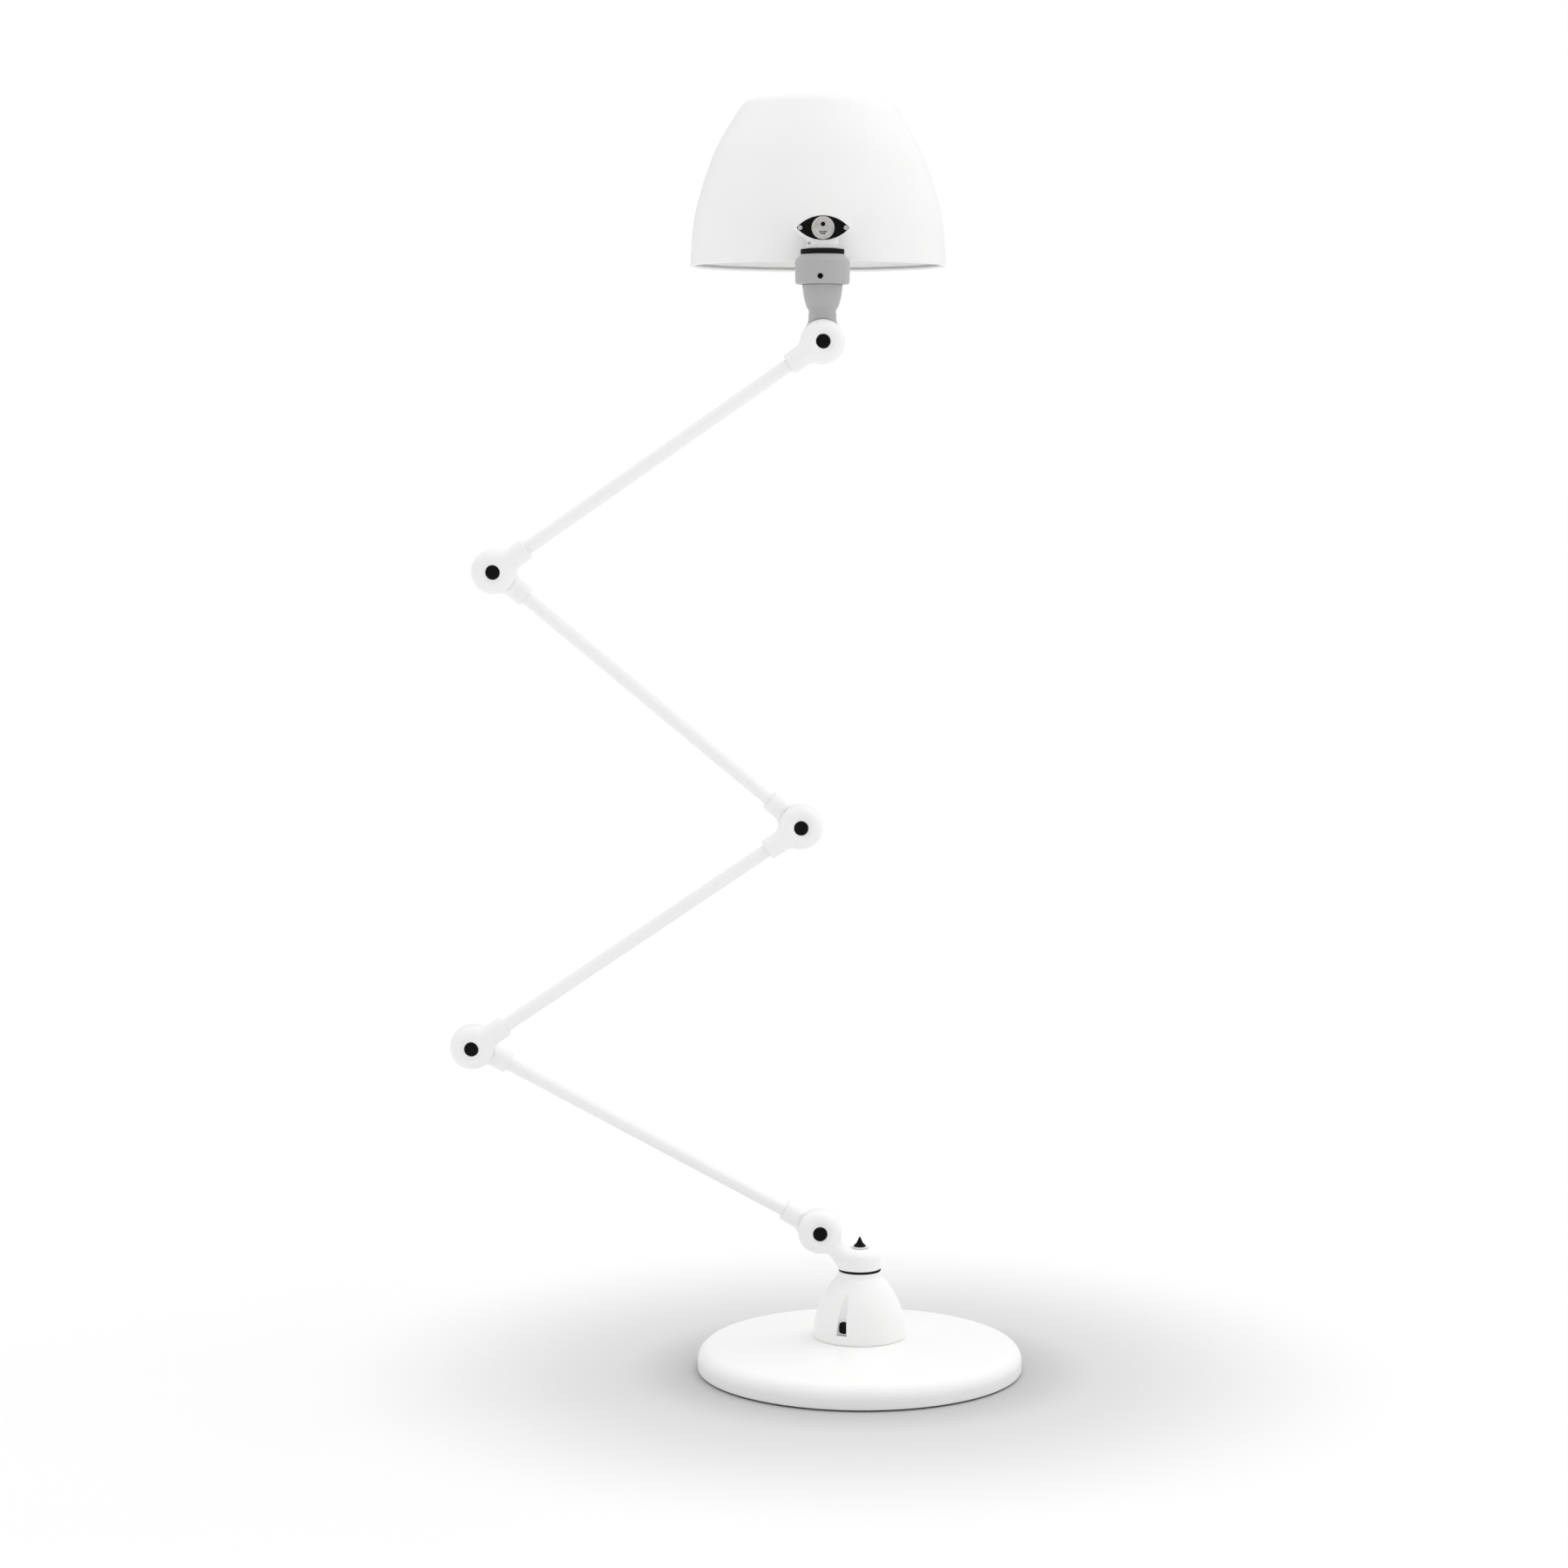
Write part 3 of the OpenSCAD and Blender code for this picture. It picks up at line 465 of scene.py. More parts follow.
class Shader:
    """Node material with a Principled surface, and short ways to add texture to it."""

    def __init__(self, name, color, roughness, metallic=0.0, **sockets):
        self.material = bpy.data.materials.new(f"{name}_finish")
        self.material.use_nodes = True
        self.tree = self.material.node_tree
        self.surface = self.tree.nodes["Principled BSDF"]
        self.color = color
        self.surface.inputs["Base Color"].default_value = (*color, 1)
        self.surface.inputs["Roughness"].default_value = roughness
        self.surface.inputs["Metallic"].default_value = metallic
        for socket, value in sockets.items():
            self.surface.inputs[socket.replace("_", " ")].default_value = value
        self.place = self.tree.nodes.new("ShaderNodeTexCoord").outputs["Object"]

    def link(self, source, target):
        self.tree.links.new(source, target)

    def noise(self, scale, detail=3.0, stretch=(1, 1, 1)):
        """Noise with cells of about 1 / scale metres."""
        mapping = self.tree.nodes.new("ShaderNodeMapping")
        mapping.inputs["Scale"].default_value = stretch
        texture = self.tree.nodes.new("ShaderNodeTexNoise")
        texture.inputs["Scale"].default_value = scale
        texture.inputs["Detail"].default_value = detail
        self.link(self.place, mapping.inputs["Vector"])
        self.link(mapping.outputs["Vector"], texture.inputs["Vector"])
        return texture.outputs["Fac"]

    def ranged(self, value, from_low, from_high, to_low, to_high):
        node = self.tree.nodes.new("ShaderNodeMapRange")
        for socket, number in zip(("From Min", "From Max", "To Min", "To Max"),
                                  (from_low, from_high, to_low, to_high)):
            node.inputs[socket].default_value = number
        self.link(value, node.inputs["Value"])
        return node.outputs["Result"]

    def tint(self, value, other):
        """Mixes another colour in where value is high."""
        mix = self.tree.nodes.new("ShaderNodeMix")
        mix.data_type = "RGBA"
        self.link(value, mix.inputs["Factor"])
        socket = self.surface.inputs["Base Color"]
        if socket.is_linked:
            self.link(socket.links[0].from_socket, mix.inputs["A"])
        else:
            mix.inputs["A"].default_value = (*self.color, 1)
        mix.inputs["B"].default_value = (*other, 1)
        self.link(mix.outputs["Result"], socket)

    def rough(self, value):
        self.link(value, self.surface.inputs["Roughness"])

    def bump(self, height, depth, strength=1.0):
        """Relief of a depth in metres."""
        node = self.tree.nodes.new("ShaderNodeBump")
        node.inputs["Strength"].default_value = strength
        node.inputs["Distance"].default_value = depth
        self.link(height, node.inputs["Height"])
        socket = self.surface.inputs["Normal"]
        if socket.is_linked:
            self.link(socket.links[0].from_socket, node.inputs["Normal"])
        self.link(node.outputs["Normal"], socket)

    def edges(self, low, high, amount):
        """High along convex edges, for wear."""
        pointiness = self.tree.nodes.new("ShaderNodeNewGeometry").outputs["Pointiness"]
        return self.ranged(pointiness, low, high, 0, amount)


WHITE = (0.93, 0.93, 0.925)
# painted shade: mid grey for the shadow that falls on the neck and collar under the shade
PAINTED_SHADE_GREY = (0.43, 0.43, 0.428)


def paint(name, color, peel_scale, peel_depth, roughness):
    """Gloss paint: faint orange peel, uneven gloss, and a thinner coat along the edges."""
    shader = Shader(name, color, roughness, Specular_IOR_Level=0.5, Coat_Weight=0.15, Coat_Roughness=0.3)
    shader.tint(shader.ranged(shader.noise(9), 0.35, 0.7, 0, 0.5), tuple(0.965 * c for c in color))
    shader.tint(shader.edges(0.54, 0.62, 0.45), tuple(0.9 * c for c in color))
    shader.rough(shader.ranged(shader.noise(60), 0.3, 0.7, roughness - 0.05, roughness + 0.07))
    shader.bump(shader.noise(peel_scale, 2), peel_depth)
    return shader


def painted_casting():
    shader = paint("painted_casting", WHITE, 420, 0.00003, 0.42)
    shader.bump(shader.noise(90, 2), 0.00006)
    return shader


# painted shade: the neck and collar are finished darker for the shadow under the shade
def grey_casting():
    shader = paint("grey_casting", PAINTED_SHADE_GREY, 420, 0.00003, 0.45)
    shader.bump(shader.noise(90, 2), 0.00006)
    return shader


def painted_tube():
    shader = paint("painted_tube", WHITE, 500, 0.00001, 0.38)
    shader.bump(shader.noise(60, 2), 0.00001)
    return shader


def painted_sheet():
    return paint("painted_sheet", WHITE, 380, 0.00003, 0.4)


def painted_shade():
    return paint("painted_shade", WHITE, 330, 0.00003, 0.42)


def moulding(name, color, roughness, grain_scale, grain_depth):
    """Moulded plastic or rubber with a fine skin and a little dust."""
    shader = Shader(name, color, roughness, Specular_IOR_Level=0.08)
    dust = tuple(min(1, c + 0.004) for c in color)
    shader.tint(shader.ranged(shader.noise(140), 0.5, 0.8, 0, 0.5), dust)
    shader.rough(shader.ranged(shader.noise(200), 0.3, 0.7, roughness - 0.06, roughness + 0.08))
    shader.bump(shader.noise(grain_scale, 3), grain_depth)
    return shader


def metal(name, color, roughness, streaks, depth):
    """Bare or plated metal with fine streaks."""
    shader = Shader(name, color, roughness, 1.0)
    darker = tuple(0.72 * c for c in color)
    shader.tint(shader.ranged(shader.noise(120), 0.4, 0.75, 0, 0.6), darker)
    lines = shader.noise(900, 2, streaks)
    shader.rough(shader.ranged(lines, 0.3, 0.7, roughness - 0.07, roughness + 0.1))
    shader.bump(lines, depth)
    return shader


def ballast_iron():
    shader = Shader("ballast_iron", (0.09, 0.09, 0.092), 0.7, 0.6)
    shader.tint(shader.ranged(shader.noise(70), 0.5, 0.75, 0, 0.6), (0.16, 0.11, 0.08))
    shader.bump(shader.noise(300, 6), 0.0004)
    return shader


def base_pad():
    shader = Shader("base_pad", (0.03, 0.03, 0.032), 0.92, Sheen_Weight=0.35, Sheen_Roughness=0.5)
    fibres = shader.noise(1500, 4, (1, 0.35, 1))
    shader.tint(shader.ranged(fibres, 0.45, 0.75, 0, 0.8), (0.085, 0.085, 0.09))
    shader.bump(fibres, 0.0003)
    return shader


def frosted_glass():
    shader = Shader("frosted_glass", (0.93, 0.93, 0.91), 0.4, Subsurface_Weight=0.25, Subsurface_Scale=0.01)
    shader.tint(shader.ranged(shader.noise(40), 0.4, 0.7, 0, 0.4), (0.88, 0.88, 0.85))
    shader.bump(shader.noise(1200, 2), 0.00003)
    return shader


def ceramic_holder():
    shader = Shader("ceramic_holder", (0.82, 0.8, 0.74), 0.22, Coat_Weight=0.5, Coat_Roughness=0.08)
    shader.tint(shader.ranged(shader.noise(160), 0.55, 0.75, 0, 0.4), (0.7, 0.67, 0.6))
    shader.bump(shader.noise(250, 2), 0.00008)
    return shader


def bright_badge():
    """Turned metal: fine rings round the badge's own axis."""
    shader = metal("bright_badge", (0.62, 0.61, 0.59), 0.24, (1, 1, 1), 0.00001)
    rings = shader.tree.nodes.new("ShaderNodeTexWave")
    rings.wave_type = "RINGS"
    rings.rings_direction = "Z"
    rings.inputs["Scale"].default_value = 700
    rings.inputs["Distortion"].default_value = 0.6
    shader.link(shader.place, rings.inputs["Vector"])
    shader.bump(rings.outputs["Fac"], 0.00001)
    return shader


def zinc_steel():
    return metal("zinc_steel", (0.58, 0.58, 0.57), 0.34, (1, 1, 0.2), 0.00002)


def bulb_metal():
    return metal("bulb_metal", (0.72, 0.7, 0.66), 0.3, (0.4, 1, 1), 0.00002)


def black_cap():
    return moulding("black_cap", (0.003, 0.003, 0.0032), 0.38, 1400, 0.00002)


def black_rubber():
    return moulding("black_rubber", (0.007, 0.007, 0.0074), 0.68, 900, 0.00005)


def black_moulding():
    return moulding("black_moulding", (0.005, 0.005, 0.0053), 0.45, 1100, 0.00003)


def black_plate():
    return moulding("black_plate", (0.003, 0.003, 0.0032), 0.26, 1600, 0.00001)


def white_plastic():
    return moulding("white_plastic", (0.8, 0.8, 0.79), 0.4, 900, 0.00002)


def lead_sheath():
    return moulding("lead_sheath", (0.22, 0.22, 0.225), 0.5, 700, 0.00003)


FINISHES = {
    make.__name__: make
    for make in (
        painted_casting, grey_casting, painted_tube, painted_sheet, painted_shade, white_plastic,
        zinc_steel, ballast_iron, base_pad, black_rubber, black_cap, black_moulding, black_plate,
        bright_badge, lead_sheath, ceramic_holder, bulb_metal, frosted_glass,
    )
}


# materials by slot
MADE = {}


def finish(slot):
    """The material of a slot, made once."""
    if slot not in MADE:
        MADE[slot] = FINISHES[slot]().material
    return MADE[slot]


# ---- joints and arms ----


def shell_outline():
    """Half outline of a joint shell: flat parting face, round shoulder, dished crown."""
    shoulder = [
        (FACE_R + (SHELL_R - FACE_R) * math.cos(t), SHELL_SIDE + (SHELL_H - SHELL_SIDE) * math.sin(t))
        for t in np.linspace(0, math.pi / 2, 14)
    ]
    floor = SHELL_H - 1
    dish = rounded((FACE_R, SHELL_H), (FACE_R - 0.6, SHELL_H, 0.5), (FACE_R - 2.2, floor, 1), (8, floor))
    foot = rounded((0, HALF_GAP), (SHELL_R, HALF_GAP, 0.7), (SHELL_R, SHELL_SIDE))
    return foot + shoulder + dish[1:] + [(0, floor)]


def shell_cavity():
    """Room for the contact disc and the leads, the bolt's bore, and the seat of its cap."""
    below, above = (0, 0, -5), (0, 0, 30)
    room = cut(0.5, rod(below, (0, 0, LAYER), SHELL_R - 4.7), rod((0, 0, 2.3), above, 8.5))
    return joined(0.5, room, rod(below, above, BOLT_R), rod((0, 0, CAP_SEAT), above, CAP_R + 0.3))


def arm_shell():
    """Joint shell with the collar that an arm's tube is held in."""
    collar = turned(
        rounded((0, 8), (COLLAR_R - 3, 8, 2), (COLLAR_R, 28, 6), (COLLAR_R, COLLAR_REACH, 1.6),
                (0, COLLAR_REACH)),
        (0, 0, LAYER), axis=0,
    )
    body = joined(9, turned(shell_outline()), collar)
    body = cut(1, body, rod((0, 0, -20), (0, 0, HALF_GAP), 60))
    return cut(
        0.8, body, shell_cavity(),
        rod((12, 0, LAYER), (COLLAR_REACH, 0, LAYER), 6),
        rod((COLLAR_REACH - TUBE_GRIP, 0, LAYER), (COLLAR_REACH + 5, 0, LAYER), TUBE_R + 0.05),
    )


def build_arms():
    shell = skin(arm_shell(), (-SHELL_R, -SHELL_R, 0), (COLLAR_REACH, SHELL_R, LAYER + COLLAR_R), CAST_STEP)
    inset = COLLAR_REACH - TUBE_GRIP
    side = [(TUBE_R, float(z)) for z in np.linspace(inset + 1, ARM_LENGTH - inset - 1, 24)]
    tube = lathe(
        rounded((TUBE_R - TUBE_WALL, inset), (TUBE_R, inset, 0.4), *side, (TUBE_R, ARM_LENGTH - inset, 0.4),
                (TUBE_R - TUBE_WALL, ARM_LENGTH - inset)),
        64, loop=True,
    )
    for i, body in enumerate(ARM_BODIES):
        start, end, side = PIVOTS[i], PIVOTS[i + 1], ARM_SIDES[i]
        angle = math.degrees(math.atan2(end[2] - start[2], end[0] - start[0]))
        for part, pivot, way in (("lower", start, angle), ("upper", end, angle + 180)):
            piece = make_piece(f"{body}_{part}_casting", shell, at_pivot(pivot, way, side))
            settle_in(piece, body, "painted_casting", f"{body}_{part}_shell")
        axis = at_pivot(start, angle, side) @ move((0, 0, LAYER)) @ turn("Y", 90)
        settle_in(make_piece(f"{body}_drawn_tube", tube, axis), body, "painted_tube", f"{body}_tube")


def build_caps():
    """The two domed caps of each joint, one object a joint."""
    crown = SHELL_H + 0.5
    cap = lathe(
        rounded((0, 18.1), (CAP_R - 0.4, 18.1, 0.3), (CAP_R, 19.4, 0.4), (CAP_R, 20.2, 0.5),
                (CAP_R - 1.6, crown - 0.25, 0.9), (2.6, crown, 1.5), (0, crown)),
        64,
    )
    for i, (pivot, body) in enumerate(zip(PIVOTS, CAP_BODIES), 1):
        name = f"joint{i}"
        pair = [make_piece(f"{name}_cap", cap, at_pivot(pivot, 0, side)) for side in (FRONT, BACK)]
        settle_in(join_pieces(f"{name}_cap_pair", pair), body, "black_cap", f"{name}_caps")


def join_pieces(name, pieces):
    """One object from several, in the row frame."""
    joined_mesh = bmesh.new()
    for piece in pieces:
        mesh = piece.data.copy()
        mesh.transform(piece.matrix_world)
        joined_mesh.from_mesh(mesh)
        bpy.data.objects.remove(piece)
    mesh = bpy.data.meshes.new(name)
    joined_mesh.to_mesh(mesh)
    joined_mesh.free()
    whole = bpy.data.objects.new(name, mesh)
    bpy.context.scene.collection.objects.link(whole)
    return whole


# ---- base ----

GLAND_Z = 12
SWITCH_ANGLE = -116
LEVER_X = BELL_R - 12.9
LEVER_Z = 57
LEVER_R = 7
LEVER_W = 9.2
LEVER_GAP = 0.4


def cover_curve(inset):
    """Outline of the base cover from its foot to the bell: rounded edge, then a low dome."""
    edge_r, blend_angle, drop = 17, math.radians(79), 10.1
    middle = (BASE_R - edge_r, BASE_TOP - drop - edge_r * math.sin(blend_angle))
    arc_r = edge_r - inset
    arc = [
        (middle[0] + arc_r * math.cos(t), middle[1] + arc_r * math.sin(t))
        for t in np.linspace(0, blend_angle, 16)
    ]
    seat_r, top = BELL_R + 1, BASE_TOP - inset
    dome = [
        (seat_r + k * (arc[-1][0] - seat_r), top - k * k * (top - arc[-1][1]))
        for k in np.linspace(0.97, 0, 22)
    ]
    return arc + dome


def build_base():
    hem = rounded(
        (BASE_R - SHEET, 12), (BASE_R - SHEET, COVER_FOOT, 1), (BASE_R, COVER_FOOT, 1.1), (BASE_R, 12)
    )
    wire_hole_r = 30
    outline = hem[1:-1] + cover_curve(0) + [(wire_hole_r, BASE_TOP), (wire_hole_r, BASE_TOP - SHEET)]
    outline += cover_curve(SHEET)[::-1]
    cover = make_piece("base_pressing", lathe(outline, 192, loop=True), sharp=40)
    gland = move((0, 0, GLAND_Z)) @ turn("X", -90)
    carve(cover, cylinder(6.05, BASE_R - 12, BASE_R + 8, gland))
    settle_in(cover, "base", "painted_sheet", "base_cover")

    low, high = corners("base_pad")
    pad = make_piece(
        "base_felt",
        lathe(rounded((0, low[2]), (high[0], low[2], 0.7), (high[0], high[2], 0.5), (0, high[2])), 160),
    )
    settle_in(pad, "base", "base_pad", "base_pad")

    low, high = corners("cable_gland")
    barb, reach, flange = low[1], high[1], 2.5
    bush = lathe(
        rounded((3.6, barb), (8.2, barb, 0.4), (8.5, barb + 0.6, 0.3), (6, barb + 3.4, 0.3), (6, BASE_R),
                (8.5, BASE_R + 0.05, 0.3), (8.3, BASE_R + 1.4, 0.5), (6.8, BASE_R + flange, 0.5),
                (6, BASE_R + flange + 0.3, 0.2), (6, reach, 0.5), (3.6, reach, 0.5), (3.6, barb)),
        64, loop=True,
    )
    settle_in(make_piece("lead_gland", bush, gland), "base", "black_rubber", "cable_gland")


def bell_outline(inset, top):
    arc_r = 103
    heights = np.linspace(BASE_TOP, top, 24)
    return [
        (BELL_R - arc_r + math.sqrt(arc_r**2 - (z - BASE_TOP) ** 2) - inset, float(z)) for z in heights
    ]


def bell():
    """Pressed bell with the pocket of the switch in its wall."""
    curve_top = BELL_TOP - 6
    outer = turned([(0, BASE_TOP)] + bell_outline(0, curve_top)
                   + rounded(bell_outline(0, curve_top)[-1], (GASKET_R + 0.4, curve_top + 1.5, 1),
                             (GASKET_R + 0.2, BELL_TOP, 0.8), (0, BELL_TOP))[1:])
    inner = turned([(0, BASE_TOP - 5), (BELL_R - SHEET, BASE_TOP - 5)] + bell_outline(SHEET, curve_top - 3)
                   + [(GASKET_R - SHEET - 0.6, BELL_TOP - 3.5), (0, BELL_TOP - 3.5)])
    flange = cut(0.5, rod((0, 0, BASE_TOP), (0, 0, BASE_TOP + 4), BELL_R - 1),
                 rod((0, 0, BASE_TOP - 5), (0, 0, BASE_TOP + 9), BELL_R - 15))
    spin = turn("Z", SWITCH_ANGLE)
    foot, tip = (BELL_R - 1, 0, 50.5), (BELL_R - 14.7, 0, 97)
    pocket = common(1.5, placed(rod(foot, tip, 8.6, 5), spin), outer)
    half = LEVER_W / 2 + LEVER_GAP
    drum = rod((LEVER_X, -half, LEVER_Z), (LEVER_X, half, LEVER_Z), LEVER_R + 0.6)
    wall = joined(1.5, cut(1, outer, inner), flange, pocket)
    wall = cut(1.6, wall, placed(rod(foot, tip, 6.2, 2.6), spin))
    wall = cut(0.8, wall, placed(drum, spin), rod((0, 0, BELL_TOP - 9), (0, 0, BELL_TOP + 5), POST_BORE_R))
    return common(0.8, wall, lambda points: BASE_TOP - points[:, 2])


def switch_lever():
    """Rocking lever: a drum segment with a row of thumb ridges."""
    half = LEVER_W / 2
    drum = common(0.8, rod((0, -half, 0), (0, half, 0), LEVER_R), block((0, -9, -20), (20, 9, 20)))
    hub = rod((0, -half, 0), (0, half, 0), 3.6)
    ridges = []
    for angle in (6, 18, 30):
        x = (LEVER_R - 0.1) * math.cos(math.radians(angle))
        z = (LEVER_R - 0.1) * math.sin(math.radians(angle))
        ridges.append(rod((x, -half + 1, z), (x, half - 1, z), 0.8))
    return cut(0.3, joined(0.6, drum, hub, *ridges), rod((0, -9, 0), (0, 9, 0), 2.05))


def build_bell():
    shape = skin(bell(), (-BELL_R, -BELL_R, BASE_TOP), (BELL_R, BELL_R, BELL_TOP), 0.8)
    settle_in(make_piece("bell_pressing", shape), "base", "painted_sheet", "base_bell")
    place = turn("Z", SWITCH_ANGLE) @ move((LEVER_X, 0, LEVER_Z))
    lever = skin(switch_lever(), (-5, -6, -10), (11, 6, 10), 0.35)
    settle_in(make_piece("switch_rocker", lever, place), "switch", "black_moulding", "switch_lever")


def build_swivel():
    """Gasket, washer and pointed cap on the swivel's axis."""
    low, high = corners("swivel_gasket")
    gasket = lathe(
        rounded((8, low[2]), (GASKET_R, low[2], 0.7), (GASKET_R, high[2], 0.7), (8, high[2])), 96, loop=True
    )
    settle_in(make_piece("swivel_seal", gasket, sharp=50), "base", "black_rubber", "swivel_gasket")
    low, high = corners("cap_washer")
    washer = lathe(
        rounded((4, low[2]), (high[0], low[2], 0.3), (high[0], high[2], 0.6), (4, high[2])), 64, loop=True
    )
    settle_in(make_piece("cap_seat_washer", washer, sharp=50), "base", "white_plastic", "cap_washer")
    low, high = corners("dome_cap")
    foot, top = high[2] - 11, high[2]
    cap = lathe(
        rounded((0, low[2]), (3.9, low[2], 0.5), (3.9, foot), (7, foot, 0.3), (7, foot + 1, 0.6),
                (3.8, foot + 4.2, 1.6), (1.8, foot + 8.4, 1), (0.9, top - 0.1, 0.5), (0, top)),
        64,
    )
    settle_in(make_piece("pointed_cap", cap, sharp=50), "base", "black_cap", "dome_cap")


def elbow():
    """Dome, bent arm and front shell of the first joint, in one casting."""
    pivot = PIVOTS[0]
    joint = at_pivot(pivot, 0, FRONT)
    side, top, face_r, arm_r = DOME_FOOT + 13, DOME_FOOT + 23.9, 10, 12
    crown = [
        (face_r + (GASKET_R - face_r) * math.cos(t), side + (top - side) * math.sin(t))
        for t in np.linspace(0, math.pi / 2, 14)
    ]
    dome = turned(rounded((0, DOME_FOOT), (GASKET_R, DOME_FOOT, 0.8), crown[0]) + crown[1:] + [(0, top)])
    start = pivot + (0, FRONT * LAYER, 0)
    end = np.array((-8, -3, DOME_FOOT + 2))
    arm = rod(start + 0.25 * (end - start), end, arm_r - 3, arm_r)
    body = joined(7, placed(turned(shell_outline()), joint), dome, arm)
    body = cut(1, body, rod((0, 0, DOME_FOOT - 40), (0, 0, DOME_FOOT), 60))
    other_shell = rod(pivot + (0, -HALF_GAP, 0), pivot + (0, 40, 0), SHELL_R + 0.6)
    room = cut(0.5, rod((0, 0, DOME_FOOT - 5), (0, 0, DOME_FOOT + 12), 18),
               rod((0, 0, DOME_FOOT - 5), (0, 0, DOME_FOOT + 14), 9))
    return cut(
        0.8, body, other_shell, placed(shell_cavity(), joint), room,
        rod(start + 0.3 * (end - start), end, 4.5),
        rod((0, 0, DOME_FOOT - 5), (0, 0, top + 5), POST_BORE_R),
        rod((0, 0, top - 4.6), (0, 0, top + 5), 9.3),
        rod((0, 0, top), (0, 0, top + 30), face_r + 0.8),
    )


def build_elbow():
    low, high = corners("elbow")
    piece = make_piece("elbow_casting", skin(elbow(), low - 2, high + 2, CAST_STEP))
    settle_in(piece, "elbow", "painted_casting", "elbow")


# ---- head ----

CONE_H = 64
SPIGOT_R, SPIGOT_H = 18, 92
NECK_R = 15.3
COLLAR_OUT_R = 31
SHOULDER_H = 90
COLLAR_TOP = 97.5
HEAD_GASKET_R = 24.6
BRACKET_FOOT = 103.4
BRACKET_R = 18
SCREW_X, SCREW_H, SCREW_R = -3.2, 72.4, 3


def neck():
    """Back shell of the last joint, the neck and its cone, and the spigot in the collar."""
    joint = at_pivot(PIVOTS[4], 90, BACK)
    cone = turned(
        rounded((0, 22), (NECK_R - 0.6, 22), (NECK_R, 36, 3), (NECK_R + 2.6, 38.6, 1.5),
                (NECK_R + 5.6, 49, 5), (NECK_R + 7.6, CONE_H, 0.6), (SPIGOT_R, CONE_H, 0.6),
                (SPIGOT_R, SPIGOT_H, 0.8), (0, SPIGOT_H)),
        HEAD,
    )
    stalk = rod(HEAD + (0, 0, 6), HEAD + (0, 0, 30), NECK_R - 1.5, NECK_R - 0.3)
    body = joined(3, joined(8, placed(turned(shell_outline()), joint), stalk), cone)
    other_shell = rod(PIVOTS[4] + (0, HALF_GAP, 0), PIVOTS[4] + (0, -40, 0), SHELL_R + 0.6)
    return cut(
        0.8, body, other_shell, placed(shell_cavity(), joint),
        rod(HEAD + (0, 0, 12), HEAD + (0, 0, SPIGOT_H + 5), 5),
        rod(HEAD + (0, 0, 78), HEAD + (0, 0, SPIGOT_H + 5), 12.5),
        screw_bore(),
    )


def screw_bore():
    """Bore of the set screw, through the collar and a little into the spigot."""
    mouth, end = HEAD + (SCREW_X, -COLLAR_OUT_R - 5, SCREW_H), HEAD + (SCREW_X, 3 - SPIGOT_R, SCREW_H)
    return rod(mouth, end, SCREW_R + 0.1)


def neck_collar():
    body = turned(
        rounded((0, CONE_H + 0.1), (COLLAR_OUT_R - 0.6, CONE_H + 0.1, 2.6), (COLLAR_OUT_R, SHOULDER_H, 1.4),
                (HEAD_GASKET_R, COLLAR_TOP, 0.8), (0, COLLAR_TOP)),
        HEAD,
    )
    return cut(
        0.8, body, rod(HEAD, HEAD + (0, 0, SPIGOT_H + 1), SPIGOT_R + 0.1),
        rod(HEAD, HEAD + (0, 0, COLLAR_TOP + 5), POST_BORE_R), screw_bore(),
    )


def hexagon(radius, low, high):
    """Six-sided bar along Z, with the radius of its corners."""
    flat = radius * math.cos(math.radians(30))
    ways = [(math.cos(a), math.sin(a)) for a in np.radians(np.arange(30, 390, 60))]

    def form(points):
        sides = np.max([points[:, 0] * x + points[:, 1] * y for x, y in ways], axis=0) - flat
        return np.maximum(sides, np.maximum(low - points[:, 2], points[:, 2] - high))

    return form


def build_neck():
    # the neck and collar take the grey that paints in the shadow under the shade
    low, high = corners("neck")
    piece = make_piece("neck_casting", skin(neck(), low - 2, high + 2, CAST_STEP))
    settle_in(piece, "neck", "grey_casting", "neck")
    low, high = corners("neck_collar")
    collar = make_piece("collar_casting", skin(neck_collar(), low, high, CAST_STEP))
    settle_in(collar, "neck", "grey_casting", "neck_collar")

    length = COLLAR_OUT_R - SPIGOT_R + 1.5
    screw = cut(0.3, turned(rounded((0, 0), (SCREW_R, 0, 0.8), (SCREW_R, length, 0.8), (0, length))),
                hexagon(1.6, -1, 3))
    place = move(HEAD + (SCREW_X, 0.7 - COLLAR_OUT_R, SCREW_H)) @ turn("X", -90)
    piece = make_piece("grub_screw", skin(screw, (-4, -4, 0), (4, 4, length), 0.25), place)
    settle_in(piece, "neck", "black_cap", "collar_screw")

    low, high = corners("head_gasket")
    gasket = lathe(
        rounded((8, low[2]), (HEAD_GASKET_R, low[2], 1.2), (HEAD_GASKET_R, high[2], 1.2), (8, high[2])),
        96, loop=True,
    )
    seal = make_piece("head_seal", gasket, move((HEAD[0], HEAD[1], 0)), sharp=50)
    settle_in(seal, "neck", "black_rubber", "head_gasket")


RIVET_X = 25.5
RIVET_R = 1.15


